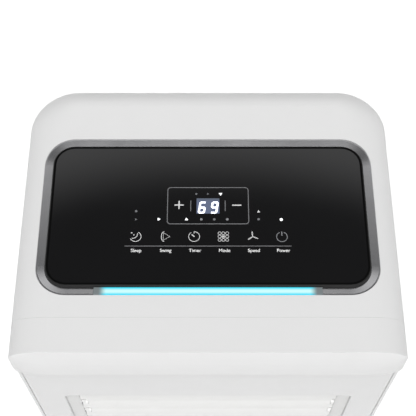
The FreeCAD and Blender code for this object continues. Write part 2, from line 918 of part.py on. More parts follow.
def make_vane(index):
    """One upright vane on two pins, with a crank plate and link pin at its foot."""
    x = vane_x[index]
    z0 = throat_bottom + vane_room
    z1 = throat_top - blade_side_gap
    foot = throat_bottom - frame_wall - 0.3
    body = rounded_prism(
        "xy",
        -vane_thickness / 2,
        vane_thickness / 2,
        -vane_chord / 2,
        vane_chord / 2,
        vane_thickness / 2 - 0.1,
        z0,
        z1,
    )
    pieces = [
        body,
        cylinder(pivot_radius, V(0, 0, foot), Z_AXIS, z0 - foot + 1),
        cylinder(pivot_radius, V(0, 0, z1 - 1), Z_AXIS, throat_top - z1 + frame_wall + 1.2),
        cylinder(pivot_radius + 1.5, V(0, 0, z0 - 0.1), Z_AXIS, crank_plate),
        cylinder(link_pin_radius + 1.5, V(0, vane_arm, z0 - 0.1), Z_AXIS, crank_plate),
        box(-1.4, 1.4, 0, vane_arm, z0 - 0.1, z0 - 0.1 + crank_plate),
        cylinder(link_pin_radius, V(0, vane_arm, throat_bottom + 0.9), Z_AXIS, vane_room - 0.9 + 0.4),
    ]
    vane = fuse(pieces)
    vane.translate(V(x, vane_y, 0))
    return vane


def make_vane_link():
    """Bar that ties the vanes' link pins together, with a finger tab."""
    z0 = throat_bottom + 1.5
    y = vane_y + vane_arm
    half = vane_x[-1] + link_width / 2 + 1
    y0, y1 = y - link_width / 2, y + link_width / 2
    bar = rounded_prism("xy", -half, half, y0, y1, link_width / 2 - 0.1, z0, z0 + link_thickness)
    hole_radius = link_pin_radius + pin_clearance
    holes = [cylinder(hole_radius, V(x, y, z0 - 1), Z_AXIS, link_thickness + 2) for x in vane_x]
    return bar.cut(Part.makeCompound(holes))


# ---- Blowers ----
def spiral_points(cx, cz, offset):
    points = []
    for angle in range(int(tongue_angle), 361, scroll_step):
        share = (angle - tongue_angle) / (360 - tongue_angle)
        r = scroll_start_radius + scroll_growth * share + offset
        a = math.radians(angle)
        points.append(V(cx + r * math.cos(a), 0, cz + r * math.sin(a)))
    return points


def scroll_solid(cx, cz, neck_z, offset, y0, y1):
    """A spiral casing in the XZ plane with an upward neck, grown by offset."""
    points = spiral_points(cx, cz, offset)
    spline = Part.BSplineCurve()
    spline.interpolate(points)
    face = Part.Face(Part.Wire([spline.toShape(), line(points[-1], points[0])]))
    face.translate(V(0, y0, 0))
    spiral = face.extrude(V(0, y1 - y0, 0))
    neck_in, neck_out = neck_sides(cx)
    neck = box(neck_in - offset, neck_out + offset, y0, y1, cz, neck_z)
    return fuse([spiral, neck])


def neck_sides(cx):
    """Inner left and right side of a scroll's neck."""
    left = cx + scroll_start_radius * math.cos(math.radians(tongue_angle))
    return left, cx + scroll_start_radius + scroll_growth


def make_blower_housing(cx, cz, neck_z):
    """Scroll casing, open at the neck, with a round inlet towards the coil and a hole for the motor."""
    outer = scroll_solid(cx, cz, neck_z, scroll_wall, scroll_y0, scroll_y1)
    inner = scroll_solid(cx, cz, neck_z + 5, 0, scroll_y0 + scroll_wall, scroll_y1 - scroll_wall)
    inlet = cylinder(wheel_radius - inlet_step, V(cx, scroll_y1 - 5, cz), Y_AXIS, 10)
    shaft_hole = cylinder(motor_radius - motor_hole_step, V(cx, scroll_y0 - 5, cz), Y_AXIS, 10)
    return outer.cut(inner).cut(inlet).cut(shaft_hole)


def make_wheel(cx, cz):
    """Forward-curved blower wheel: back plate, hub, curved blades and a front ring."""
    y0 = scroll_y0 + scroll_wall + wheel_gap
    y1 = y0 + wheel_width
    plate = cylinder(wheel_radius, V(0, y0, 0), Y_AXIS, wheel_plate_thickness)
    inner_r, outer_r = wheel_radius - wheel_ring_width, wheel_radius - 0.3
    ring = cylinder(wheel_radius, V(0, y1 - wheel_ring_thickness, 0), Y_AXIS, wheel_ring_thickness)
    ring = ring.cut(cylinder(inner_r, V(0, y1 - 4, 0), Y_AXIS, 6))
    hub = cylinder(wheel_hub_radius, V(0, y0, 0), Y_AXIS, wheel_hub_length)
    t = wheel_vane_thickness
    bow = wheel_vane_bow
    sweep = wheel_vane_sweep
    front = Part.Arc(V(inner_r, y0, 0), V(inner_r + 6, y0, bow), V(outer_r, y0, sweep)).toShape()
    back = Part.Arc(V(outer_r, y0, sweep - t), V(inner_r + 6, y0, bow - t), V(inner_r, y0, -t)).toShape()
    tip = line(V(outer_r, y0, sweep), V(outer_r, y0, sweep - t))
    root = line(V(inner_r, y0, -t), V(inner_r, y0, 0))
    vane = Part.Face(Part.Wire([front, tip, back, root])).extrude(V(0, wheel_width, 0))
    vanes = []
    for i in range(wheel_vanes):
        copy = vane.copy()
        copy.rotate(V(0, 0, 0), Y_AXIS, 360.0 * i / wheel_vanes)
        vanes.append(copy)
    wheel = fuse([plate, ring, hub] + vanes)
    wheel = wheel.common(cylinder(wheel_radius, V(0, y0, 0), Y_AXIS, wheel_width))
    wheel = wheel.cut(cylinder(shaft_radius + shaft_clearance, V(0, y0 - 1, 0), Y_AXIS, wheel_width))
    wheel.translate(V(cx, 0, cz))
    return wheel


def make_fan_motor(cx, cz):
    """Motor can in front of the scroll, with its shaft through the wheel's hub and three mounting ears."""
    y1 = scroll_y0
    can = cylinder(motor_radius, V(cx, y1 - motor_length, cz), Y_AXIS, motor_length)
    front_edges = [e for e in can.Edges if e.BoundBox.YMax < y1 - motor_length + 0.1]
    can = can.makeFillet(5, front_edges)
    boss = cylinder(motor_radius - 20, V(cx, y1 - 1, cz), Y_AXIS, 5)
    shaft = cylinder(shaft_radius, V(cx, y1, cz), Y_AXIS, 5 + scroll_wall + 22)
    ears = []
    for i in range(3):
        ear = box(-7, 7, y1 - 3, y1 - 0.01, motor_radius - 5, motor_radius + 14)
        ear.rotate(V(0, 0, 0), Y_AXIS, 120 * i)
        ear.translate(V(cx, 0, cz))
        ears.append(ear)
    return fuse([can, boss, shaft] + ears)


def make_exhaust_duct():
    """Box that takes the warm air from the lower blower's neck to the exhaust port."""
    neck_x0, neck_x1 = neck_sides(lower_blower_x)
    x0 = exhaust_x - exhaust_bore - 5
    x1 = neck_x1 + 6
    y0, y1 = scroll_y0, rear_y - exhaust_length - 0.2
    w = duct_wall
    outer = box(x0, x1, y0, y1, exhaust_z0, exhaust_z1)
    inner = box(x0 + w, x1 - w, y0 + w, y1 - w, exhaust_z0 + w, exhaust_z1 - w)
    neck = box(neck_x0, neck_x1, scroll_y0 + w, scroll_y1 - w, exhaust_z0 - 1, exhaust_z0 + w + 1)
    port = cylinder(exhaust_bore + 0.8, V(exhaust_x, y1 - w - 1, exhaust_z), Y_AXIS, w + 2)
    return outer.cut(inner).cut(neck).cut(port)


def make_discharge_duct():
    """Hood that takes the cold air from the upper blower's neck forward and down to the vanes."""
    neck_x0, neck_x1 = neck_sides(upper_blower_x)
    x = frame_half + frame_wall
    y0, y1 = throat_rear_y + duct_gap, scroll_y1 + duct_wall
    z0, z1 = upper_neck_z + duct_gap, upper_neck_z + duct_gap + duct_height
    foot = throat_bottom - frame_wall
    w = duct_wall
    outer = fuse([box(-x, x, y0, y1, z0, z1), box(-x, x, y0, y0 + duct_leg, foot, z1)])
    inner = fuse(
        [
            box(w - x, x - w, y0 + w, y1 - w, z0 + w, z1 - w),
            box(w - x, x - w, y0 + w, y0 + duct_leg - w, foot + w, z1 - w),
        ]
    )
    mouth = box(-frame_half, frame_half, y0 - 1, y0 + w + 1, throat_bottom, throat_top)
    neck = box(neck_x0, neck_x1, scroll_y0 + w, scroll_y1 - w, z0 - 1, z0 + w + 1)
    return outer.cut(inner).cut(mouth).cut(neck)


# ---- Cooling circuit ----
def make_coil(z0, z1):
    """Finned block with the tube ends bent round in pairs at both sides."""
    y1 = coil_y0 + coil_depth
    block = box(-coil_half, coil_half, coil_y0, y1, z0, z1)
    grooves = []
    count = int((2 * coil_half - 8) / fin_pitch)
    for i in range(count):
        x = -coil_half + 4 + i * fin_pitch
        grooves.append(box(x, x + fin_groove, y1 - 3, y1 + 1, z0 + 3, z1 - 3))
    block = block.cut(Part.makeCompound(grooves))
    bends = []
    pairs = int((z1 - z0 - 20) / coil_tube_pitch)
    radius = coil_tube_pitch / 4
    for side in (-1, 1):
        for i in range(pairs):
            z = z0 + 16 + i * coil_tube_pitch
            x = side * coil_half
            y = coil_y0 + coil_depth / 2
            top = V(x, y, z + 2 * radius)
            path = Part.Wire([Part.Arc(V(x, y, z), V(x + side * radius, y, z + radius), top).toShape()])
            circle = Part.Wire([Part.Circle(V(x, y, z), X_AXIS, coil_tube_radius).toShape()])
            bends.append(path.makePipeShell([circle], True, False))
    return fuse([block] + bends)


def make_compressor():
    """Upright rotary compressor can with domed ends and a terminal cover."""
    can_start = V(compressor_x, compressor_y, compressor_z0)
    can = cylinder(compressor_radius, can_start, Z_AXIS, compressor_height)
    ends = [e for e in can.Edges if len(e.Vertexes) == 1]
    can = can.makeFillet(compressor_round, ends)
    cap_start = V(compressor_x, compressor_y, compressor_z0 + compressor_height - 2)
    cap = cylinder(terminal_radius, cap_start, Z_AXIS, terminal_height + 2)
    plate = box(
        compressor_x - compressor_plate_half,
        compressor_x + compressor_plate_half,
        compressor_y - compressor_plate_half,
        compressor_y + compressor_plate_half,
        compressor_z0 - compressor_plate_drop,
        compressor_z0 + 1,
    )
    upright = [e for e in plate.Edges if abs(e.Vertexes[0].Z - e.Vertexes[1].Z) > 1]
    plate = plate.makeFillet(compressor_plate_round, upright)
    return fuse([can, cap, plate])


def compressor_foot_spots():
    reach = compressor_foot_reach
    return [(compressor_x + sx * reach, compressor_y + sy * reach) for sx in (-1, 1) for sy in (-1, 1)]


def make_compressor_feet():
    """Four rubber bushes between the compressor's plate and the base."""
    z0 = body_bottom + base_wall
    height = compressor_z0 - compressor_plate_drop - z0
    return Part.makeCompound(
        [cylinder(compressor_foot_radius, V(x, y, z0), Z_AXIS, height) for x, y in compressor_foot_spots()]
    )


def make_accumulator():
    """Upright can with rounded ends in the suction line."""
    start = V(accumulator_x, accumulator_y, accumulator_z0)
    can = cylinder(accumulator_radius, start, Z_AXIS, accumulator_height)
    return can.makeFillet(accumulator_round, [e for e in can.Edges if len(e.Vertexes) == 1])


def make_refrigerant_pipes():
    """Discharge line to the condenser and suction line from the evaporator."""
    top = compressor_z0 + compressor_height + terminal_height + 0.5
    acc_top = accumulator_z0 + accumulator_height + 0.2
    high, higher = top + discharge_rise, top + suction_rise
    middle = coil_y0 + coil_depth / 2
    side_x = -coil_half - 26
    discharge = pipe(
        [
            V(compressor_x, compressor_y, top),
            V(compressor_x, compressor_y, high),
            V(side_x - 12, compressor_y, high),
            V(side_x - 12, middle, high),
            V(side_x - 12, middle, condenser_z1 - 6),
            V(-coil_half - 0.3, middle, condenser_z1 - 6),
        ],
        pipe_radius,
        pipe_bend,
    )
    suction = pipe(
        [
            V(accumulator_x, accumulator_y, acc_top),
            V(accumulator_x, accumulator_y, higher),
            V(side_x, accumulator_y, higher),
            V(side_x, coil_y0 + 6, higher),
            V(side_x, coil_y0 + 6, evaporator_z0 + 6),
            V(-coil_half - 0.3, coil_y0 + 6, evaporator_z0 + 6),
        ],
        pipe_radius,
        pipe_bend,
    )
    return [discharge, suction]


def make_drip_tray():
    """Shelf between the compartments: catches water under the evaporator, carries the upper blower."""
    x = half_width - wall - tray_gap
    y0, y1 = face_y + face_flange_depth + 1, rear_y - wall - tray_gap
    tray = box(-x, x, y0, y1, tray_z, tray_z + tray_depth)
    corner = [
        e
        for e in tray.Edges
        if abs(e.Vertexes[0].Z - e.Vertexes[1].Z) > 1 and e.Vertexes[0].Y > 0
    ]
    tray = tray.makeFillet(rear_corner_radius - wall - tray_gap, corner)
    hollow = box(-x + tray_wall, x - tray_wall, coil_y0 - 6, y1 - tray_wall, tray_z + tray_wall, tray_z + 50)
    hollow = hollow.common(tray_inner(x, y1))
    relief = box(-x - 1, x + 1, y0 - 1, coil_y0 - 6 - tray_wall, tray_z + tray_wall, tray_z + 50)
    tray = tray.cut(hollow).cut(relief)
    notch = box(-coil_half - 46, -coil_half - 12, y0 - 1, coil_y0 + 24, tray_z - 1, tray_z + 50)
    spout = cylinder(
        drain_bore + drain_wall, V(drain_x, drain_seat_y - drain_boss, upper_drain_z), Y_AXIS, drain_boss
    )
    bore = cylinder(drain_bore, V(drain_x, drain_seat_y - drain_boss - 2, upper_drain_z), Y_AXIS, 40)
    return fuse([tray.cut(notch), spout]).cut(bore)


def tray_inner(x, y1):
    r = rear_corner_radius - wall - tray_gap - tray_wall
    return rounded_prism(
        "xy", -x + tray_wall, x - tray_wall, -200, y1 - tray_wall, r, tray_z + tray_wall, tray_z + 50
    )


def make_splash_motor():
    """Small motor over the base pan that drives the splash wheel."""
    x, z = splash_x, body_bottom + splash_lift
    can = cylinder(13, V(x, 42, z), Y_AXIS, 16)
    shaft = cylinder(splash_shaft_radius, V(x, 57, z), Y_AXIS, 14)
    leg = box(x - 9, x + 9, 44, 54, body_bottom + base_wall + 0.2, z - 8)
    return fuse([can, shaft, leg])


def make_splash_wheel():
    """Toothed disc that throws condensate on to the condenser."""
    x, z = splash_x, body_bottom + splash_lift
    y0, y1 = splash_y0, splash_y0 + splash_thickness
    disc = cylinder(splash_disc_radius, V(x, y0, z), Y_AXIS, splash_thickness)
    hub = cylinder(splash_hub_radius, V(x, y0 - 3, z), Y_AXIS, 9)
    teeth = []
    for i in range(splash_teeth):
        tooth = box(-1.5, 1.5, y0, y1, splash_disc_radius - 2, splash_tip_radius)
        tooth.rotate(V(0, 0, 0), Y_AXIS, 360 / splash_teeth * i)
        tooth.translate(V(x, 0, z))
        teeth.append(tooth)
    wheel = fuse([disc, hub] + teeth)
    return wheel.cut(cylinder(splash_shaft_radius + shaft_clearance, V(x, y0 - 5, z), Y_AXIS, 20))


def float_spot():
    return 122.0, 70.0, body_bottom + base_wall


def make_float():
    """Ring float that rises on the base pan's post as the pan fills."""
    x, y, z = float_spot()
    ring = cylinder(float_radius, V(x, y, z + float_rest), Z_AXIS, float_height)
    return ring.cut(cylinder(float_post_radius + shaft_clearance, V(x, y, z), Z_AXIS, float_post_height))


def make_electrical_box():
    """Closed box for the main circuit board and the mains terminals, with a lid groove and a capacitor."""
    x0, x1, y0, y1 = electrical_x0, electrical_x1, electrical_y0, electrical_y1
    z1 = tray_z - capacitor_height - 18.0
    z0 = z1 - electrical_height
    body = rounded_prism("xy", x0, x1, y0, y1, electrical_round, z0, z1)
    lid_y = y0 + electrical_lid
    groove = box(x0 - 1, x1 + 1, lid_y, lid_y + 1.2, z0 - 1, z1 + 1)
    core = rounded_prism("xy", x0 + 1, x1 - 1, y0 + 1, y1 - 1, electrical_round - 1, z0, z1)
    can_start = V((x0 + x1) / 2, (y0 + y1) / 2, z1 - 1)
    capacitor = cylinder(capacitor_radius, can_start, Z_AXIS, capacitor_height + 1)
    return fuse([body.cut(groove), core, capacitor])


# ---- Rear fittings ----
def make_filter_grille(z0, z1):
    """Push-in grille: a frame with upright bars and two cross bars."""
    g = filter_gap
    y0, y1 = rear_y - filter_thickness, rear_y
    x = filter_half - g
    frame = rounded_prism("xz", -x, x, z0 + g, z1 - g, filter_corner - g, y0, y1)
    window = rounded_prism(
        "xz",
        -x + filter_border,
        x - filter_border,
        z0 + g + filter_border,
        z1 - g - filter_border,
        3,
        y0 - 1,
        y1 + 1,
    )
    rear_pocket = box(
        -x + filter_border / 2,
        x - filter_border / 2,
        y0 - 1,
        y0 + filter_pocket,
        z0 + g + filter_border / 2,
        z1 - g - filter_border / 2,
    )
    frame = frame.cut(window).cut(rear_pocket)
    bars = []
    bar_y = y0 + filter_pocket
    inner = x - filter_border
    count = int(2 * inner / filter_bar_pitch)
    start = -(count - 1) * filter_bar_pitch / 2
    bar_z0, bar_z1 = z0 + filter_border - 1, z1 - filter_border + 1
    for i in range(count):
        bar_x = start + i * filter_bar_pitch
        left, right = bar_x - filter_bar / 2, bar_x + filter_bar / 2
        bars.append(box(left, right, bar_y, y1 - filter_bar_set, bar_z0, bar_z1))
    for share in (1 / 3, 2 / 3):
        z = z0 + (z1 - z0) * share
        low, high = z - cross_bar_height / 2, z + cross_bar_height / 2
        bars.append(box(-inner - 1, inner + 1, bar_y, y1 - cross_bar_set, low, high))
    return fuse([frame] + bars)


def make_filter_mesh(z0, z1):
    """Flat air filter that lies in the pocket behind the grille."""
    g = filter_gap
    x = filter_half - g - filter_border / 2 - 0.4
    y0 = rear_y - filter_thickness + 1.2
    return box(
        -x, x, y0, y0 + mesh_thickness, z0 + g + filter_border / 2 + 0.4, z1 - g - filter_border / 2 - 0.4
    )


def make_exhaust_collar():
    """Round port for the exhaust hose, flush with the rear wall, with a flange behind it."""
    y1 = rear_y
    y0 = y1 - exhaust_length
    start = V(exhaust_x, y0, exhaust_z)
    tube = cylinder(exhaust_bore + exhaust_wall, start, Y_AXIS, exhaust_length)
    flange_radius = exhaust_bore + exhaust_wall + exhaust_flange
    flange = cylinder(flange_radius, V(exhaust_x, rear_y - wall - 2.5, exhaust_z), Y_AXIS, 2.4)
    flange = flange.common(box(-rear_half, rear_half + 20, 0, 200, 0, 900))
    bore = cylinder(exhaust_bore, V(exhaust_x, y0 - 1, exhaust_z), Y_AXIS, exhaust_length + 2)
    return fuse([tube, flange]).cut(bore)


def make_drain_plug(z):
    """Rubber plug with a grip head."""
    stem = cylinder(drain_bore - drain_plug_clearance, V(drain_x, drain_seat_y - 11, z), Y_AXIS, 12)
    head = cylinder(drain_bore + drain_wall + 1, V(drain_x, drain_seat_y, z), Y_AXIS, 1.6)
    grip = box(drain_x - 1.5, drain_x + 1.5, drain_seat_y + 1, rear_y - 0.2, z - 6, z + 6)
    return fuse([stem, head, grip])


def make_cord_gland():
    """Ring in the rear wall that the mains lead passes through."""
    y0 = rear_y - wall
    inner = cylinder(gland_radius - 3.3, V(gland_x, y0 - 5, gland_z), Y_AXIS, wall + 5)
    back = cylinder(gland_radius, V(gland_x, y0 - 3, gland_z), Y_AXIS, 2.9)
    bore = cylinder(gland_bore, V(gland_x, y0 - 6, gland_z), Y_AXIS, wall + 9)
    return fuse([inner, back]).cut(bore)


def screw_spots():
    edge = rear_half - 9
    return [(x, z) for x in (-edge, edge) for z in (body_bottom + 18, gland_z - 30, shell_top - 14)]


def screw_blanks(growth):
    """Heads and shanks of the rear wall's screws without their recesses, grown by growth."""
    blanks = []
    for x, z in screw_spots():
        head_y = rear_y - screw_head_depth
        head = cylinder(screw_head_radius + growth, V(x, head_y - growth, z), Y_AXIS, screw_head_depth + 1)
        shank = cylinder(screw_radius + growth, V(x, head_y - screw_length, z), Y_AXIS, screw_length)
        blanks.append(fuse([head, shank]))
    return Part.makeCompound(blanks)


def make_screws():
    """Screws that hold the rear wall, each with a cross recess in a head let into the wall."""
    outside = box(-half_width, half_width, rear_y - 0.1, rear_y + 5, 0, body_top)
    recesses = [outside]
    for x, z in screw_spots():
        recesses.append(box(x - 0.5, x + 0.5, rear_y - 1.0, rear_y + 1, z - 2.2, z + 2.2))
        recesses.append(box(x - 2.2, x + 2.2, rear_y - 1.0, rear_y + 1, z - 0.5, z + 0.5))
    return screw_blanks(0).cut(Part.makeCompound(recesses))


# ---- Base and casters ----
def base_prism(inset, z0, z1):
    x = half_width - wall - base_gap - inset
    y0 = front_y + wall + base_gap + inset
    y1 = rear_y - wall - base_gap - inset
    block = box(-x, x, y0, y1, z0, z1)
    upright = [e for e in block.Edges if abs(e.Vertexes[0].Z - e.Vertexes[1].Z) > 1]
    rear = [e for e in upright if e.Vertexes[0].Y > 0]
    return block.makeFillet(rear_corner_radius - wall - base_gap - inset, rear)


def caster_spots():
    return {
        "front_left": (-caster_x, caster_front_y),
        "front_right": (caster_x, caster_front_y),
        "rear_left": (-caster_x, caster_rear_y),
        "rear_right": (caster_x, caster_rear_y),
    }


def make_base_pan():
    """Base tray: floor, raised rim, caster bosses and the lower drain spout."""
    z0 = body_bottom
    pan = base_prism(0, z0, z0 + base_rim).cut(base_prism(base_wall, z0 + base_wall, z0 + base_rim + 5))
    face_clear = box(-400, 400, -400, face_y + face_flange_depth + base_gap, 0, 400)
    pan = pan.cut(face_clear)
    pieces = [pan, face_prism(wall + base_gap, z0, z0 + base_wall)]
    x, y, floor_top = float_spot()
    post_start = V(x, y, floor_top - 1)
    pieces.append(cylinder(float_post_radius, post_start, Z_AXIS, float_post_height + 1))
    for x, y in caster_spots().values():
        pieces.append(cylinder(caster_stem_radius + 4, V(x, y, z0), Z_AXIS, caster_stem_height + 2))
    boss_start = V(drain_x, drain_seat_y - drain_boss, lower_drain_z)
    pieces.append(cylinder(drain_bore + drain_wall, boss_start, Y_AXIS, drain_boss))
    pan = fuse(pieces)
    pan = pan.cut(cylinder(drain_bore, boss_start - V(0, 2, 0), Y_AXIS, 40))
    socket_radius = caster_stem_radius + caster_clearance
    for x, y in caster_spots().values():
        pan = pan.cut(cylinder(socket_radius, V(x, y, z0 - 1), Z_AXIS, caster_stem_height + 1))
    return pan


def make_caster_body(spot):
    """Caster core between two wheels, with its stem up into the base and its axle across."""
    x, y = spot
    z = caster_wheel_radius
    core_start = V(x - caster_body_width / 2, y + caster_trail, z)
    core = cylinder(caster_wheel_radius - 2.5, core_start, X_AXIS, caster_body_width)
    neck = rounded_prism(
        "xy",
        x - caster_body_width / 2,
        x + caster_body_width / 2,
        y - 8,
        y + caster_trail,
        2,
        z + 4,
        caster_top - 1,
    )
    cap_start = V(x, y, caster_top - caster_cap_thickness)
    cap = cylinder(caster_cap_radius, cap_start, Z_AXIS, caster_cap_thickness)
    stem_length = caster_headroom + caster_stem_height - 0.5
    stem = cylinder(caster_stem_radius, V(x, y, caster_top - 1), Z_AXIS, stem_length + 1)
    reach = caster_body_width / 2 + caster_gap + caster_wheel_width - 1.5
    axle = cylinder(caster_axle_radius, V(x - reach, y + caster_trail, z), X_AXIS, 2 * reach)
    return fuse([core, neck, cap, stem, axle])


def make_caster_wheels(spot):
    """The two wheels of one caster, which turn on the same axle."""
    x, y = spot
    z = caster_wheel_radius
    wheels = []
    for side in (-1, 1):
        x_in = x + side * (caster_body_width / 2 + caster_gap)
        start = V(min(x_in, x_in + side * caster_wheel_width), y + caster_trail, z)
        disc = cylinder(caster_wheel_radius, start, X_AXIS, caster_wheel_width)
        disc = disc.makeFillet(1.6, [e for e in disc.Edges if len(e.Vertexes) == 1])
        groove_x = x_in + side * (caster_wheel_width - 0.8)
        groove_start = V(min(groove_x, groove_x + side * 2), y + caster_trail, z)
        groove = cylinder(13, groove_start, X_AXIS, 2).cut(cylinder(6, groove_start, X_AXIS, 2))
        bore_start, bore_end = sorted((x_in - side, x_in + side * (caster_wheel_width - 1.4)))
        bore_radius = caster_axle_radius + caster_clearance
        bore = cylinder(bore_radius, V(bore_start, y + caster_trail, z), X_AXIS, bore_end - bore_start)
        wheels.append(disc.cut(groove).cut(bore))
    return Part.makeCompound(wheels)


def main():
    save("top_cover", make_top_cover())
    save("front_panel", make_front_panel())
    save("left_side_panel", make_side_panel(-1))
    save("right_side_panel", make_side_panel(1))
    rear = make_rear_panel()
    holes = screw_blanks(screw_clearance)
    save("rear_panel", rear.cut(holes))
    save("rear_screws", make_screws())
    save("grip_cups", Part.makeCompound([make_handle(-1), make_handle(1)]))

    save("control_glass", make_control_glass())
    save("bezel_ring", make_bezel_ring())
    save("light_bar", make_light_bar())
    save("control_board", make_control_board())
    save("display_module", make_display_module())

    save("louver_frame", make_louver_frame())
    for i in range(blade_count):
        save("louver_blade_%d" % (i + 1), make_blade(i))
    save("louver_link", make_louver_link())
    save("louver_motor", make_louver_motor())
    for i in range(vane_count):
        save("air_vane_%d" % (i + 1), make_vane(i))
    save("vane_link", make_vane_link())

    save("upper_blower_housing", make_blower_housing(upper_blower_x, upper_blower_z, upper_neck_z))
    save("upper_blower_wheel", make_wheel(upper_blower_x, upper_blower_z))
    save("upper_fan_motor", make_fan_motor(upper_blower_x, upper_blower_z))
    save("lower_blower_housing", make_blower_housing(lower_blower_x, lower_blower_z, lower_neck_z))
    save("lower_blower_wheel", make_wheel(lower_blower_x, lower_blower_z))
    save("lower_fan_motor", make_fan_motor(lower_blower_x, lower_blower_z))
    save("discharge_duct", make_discharge_duct())
    save("exhaust_duct", make_exhaust_duct())

    save("evaporator_coil", make_coil(evaporator_z0, evaporator_z1))
    save("condenser_coil", make_coil(condenser_z0, condenser_z1))
    save("compressor", make_compressor())
    save("compressor_feet", make_compressor_feet())
    save("refrigerant_pipes", Part.makeCompound([make_accumulator()] + make_refrigerant_pipes()))
    save("drip_tray", make_drip_tray())
    save("splash_motor", make_splash_motor())
    save("splash_wheel", make_splash_wheel())
    save("tank_float", make_float())
    save("electrical_box", make_electrical_box())

    save("upper_filter_grille", make_filter_grille(upper_filter_z0, upper_filter_z1))
    save("upper_filter_mesh", make_filter_mesh(upper_filter_z0, upper_filter_z1))
    save("lower_filter_grille", make_filter_grille(lower_filter_z0, lower_filter_z1))
    save("exhaust_collar", make_exhaust_collar())
    save("upper_drain_plug", make_drain_plug(upper_drain_z))
    save("lower_drain_plug", make_drain_plug(lower_drain_z))
    save("cord_gland", make_cord_gland())

    save("base_pan", make_base_pan().cut(holes))
    for name, spot in caster_spots().items():
        save("caster_%s" % name, make_caster_body(spot))
        save("caster_wheels_%s" % name, make_caster_wheels(spot))


main()
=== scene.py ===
"""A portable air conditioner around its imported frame. Lengths are metres, in the frame of the CAD."""
import math

import bpy
from mathutils import Matrix, Vector


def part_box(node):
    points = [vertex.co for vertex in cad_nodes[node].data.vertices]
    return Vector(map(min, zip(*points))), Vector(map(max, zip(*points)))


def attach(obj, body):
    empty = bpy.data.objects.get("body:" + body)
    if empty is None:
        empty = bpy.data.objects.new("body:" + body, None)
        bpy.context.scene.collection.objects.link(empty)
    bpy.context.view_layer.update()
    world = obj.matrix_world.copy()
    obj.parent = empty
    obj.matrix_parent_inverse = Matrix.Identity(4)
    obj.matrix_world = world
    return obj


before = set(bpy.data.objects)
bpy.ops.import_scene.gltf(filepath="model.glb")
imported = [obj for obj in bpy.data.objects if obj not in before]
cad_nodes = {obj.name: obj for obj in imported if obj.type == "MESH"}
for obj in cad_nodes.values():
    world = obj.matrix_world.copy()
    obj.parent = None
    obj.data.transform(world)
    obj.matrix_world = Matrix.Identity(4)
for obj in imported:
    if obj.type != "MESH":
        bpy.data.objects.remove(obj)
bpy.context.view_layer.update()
bpy.ops.object.select_all(action="DESELECT")
mm = 0.001

# ---- Base pan ----
# The tray that everything stands on. It is moulded in dark grey polypropylene with a fine eroded
# grain, holds a little condensate, and has a socket for a caster's stem near each corner.


def linear(code):
    """An sRGB hex colour as a linear RGBA value."""
    shares = [int(code[i : i + 2], 16) / 255 for i in (0, 2, 4)]
    return tuple(s / 12.92 if s <= 0.04045 else ((s + 0.055) / 1.055) ** 2.4 for s in shares) + (1.0,)


def add_node(tree, kind, inputs=None, **settings):
    """Adds a shader node with its settings; an input is a value or the socket it is linked to."""
    made = tree.nodes.new("ShaderNode" + kind)
    for name, value in settings.items():
        setattr(made, name, value)
    for name, value in (inputs or {}).items():
        if isinstance(value, bpy.types.NodeSocket):
            tree.links.new(value, made.inputs[name])
        else:
            made.inputs[name].default_value = value
    return made


def start_material(name, **surface):
    """A new material, its tree and its Principled surface with constants set on the sockets."""
    material = bpy.data.materials.new(name)
    material.use_nodes = True
    tree = material.node_tree
    shader = tree.nodes["Principled BSDF"]
    for socket, value in surface.items():
        shader.inputs[socket.replace("_", " ")].default_value = value
    return material, tree, shader


def feed(tree, shader, **sockets):
    """Links sockets of other nodes to the surface's inputs."""
    for name, socket in sockets.items():
        tree.links.new(socket, shader.inputs[name.replace("_", " ")])


def moulded(name, light, dark, gloss, grain, depth, ior, shine=0.5):
    """A moulded plastic: two close tones, a gloss that drifts across the part and an eroded grain."""
    material, tree, shader = start_material(name, IOR=ior, Specular_IOR_Level=shine)
    place = add_node(tree, "TexCoord").outputs["Object"]
    drift_scale = 45.0  # patches about 22 mm across
    flow = add_node(
        tree, "TexNoise", {"Vector": place, "Scale": drift_scale, "Detail": 5.0, "Roughness": 0.7}
    )
    tone = add_node(
        tree, "Mix", {0: flow.outputs["Fac"], 6: linear(light), 7: linear(dark)}, data_type="RGBA"
    )
    sheen = add_node(
        tree,
        "MapRange",
        {"Value": flow.outputs["Fac"], "To Min": gloss - 0.04, "To Max": gloss + 0.05},
    )
    pits = add_node(tree, "TexNoise", {"Vector": place, "Scale": 1 / grain, "Detail": 2.0})
    bump = add_node(tree, "Bump", {"Height": pits.outputs["Fac"], "Distance": depth, "Strength": 1.0})
    feed(
        tree,
        shader,
        Base_Color=tone.outputs[2],
        Roughness=sheen.outputs["Result"],
        Normal=bump.outputs["Normal"],
    )
    return material


def dress(material, *names):
    """Gives CAD nodes their material."""
    for name in names:
        for slot in cad_nodes[name].material_slots:
            slot.material = material


# Grey polypropylene: waxy and fairly matt. The real grain is 0.2 mm; it is drawn at 0.8 mm to show.
dark_polypropylene = moulded(
    "dark_grey_polypropylene", "3A3B3D", "343537", 0.5, 0.8 * mm, 0.02 * mm, 1.49
)
dress(dark_polypropylene, "base_pan")

# ---- Casters ----
# Four twin-wheel furniture casters in black nylon. A stem turns in the base, and the two wheels of
# a caster turn on one axle. The wheels' edges are worn a little paler where they roll.
caster_names = ("front_left", "front_right", "rear_left", "rear_right")
# Glass-filled nylon: near black, with a dull sheen. The tread is scuffed to a matt dark grey.
black_nylon = moulded(
    "black_glass_filled_nylon", "1B1B1C", "161617", 0.42, 0.6 * mm, 0.015 * mm, 1.53
)
wheel_nylon = moulded("grey_nylon_tread", "3C3C3D", "2B2B2C", 0.5, 0.9 * mm, 0.03 * mm, 1.53)
for place_name in caster_names:
    dress(black_nylon, "caster_" + place_name)
    dress(wheel_nylon, "caster_wheels_" + place_name)

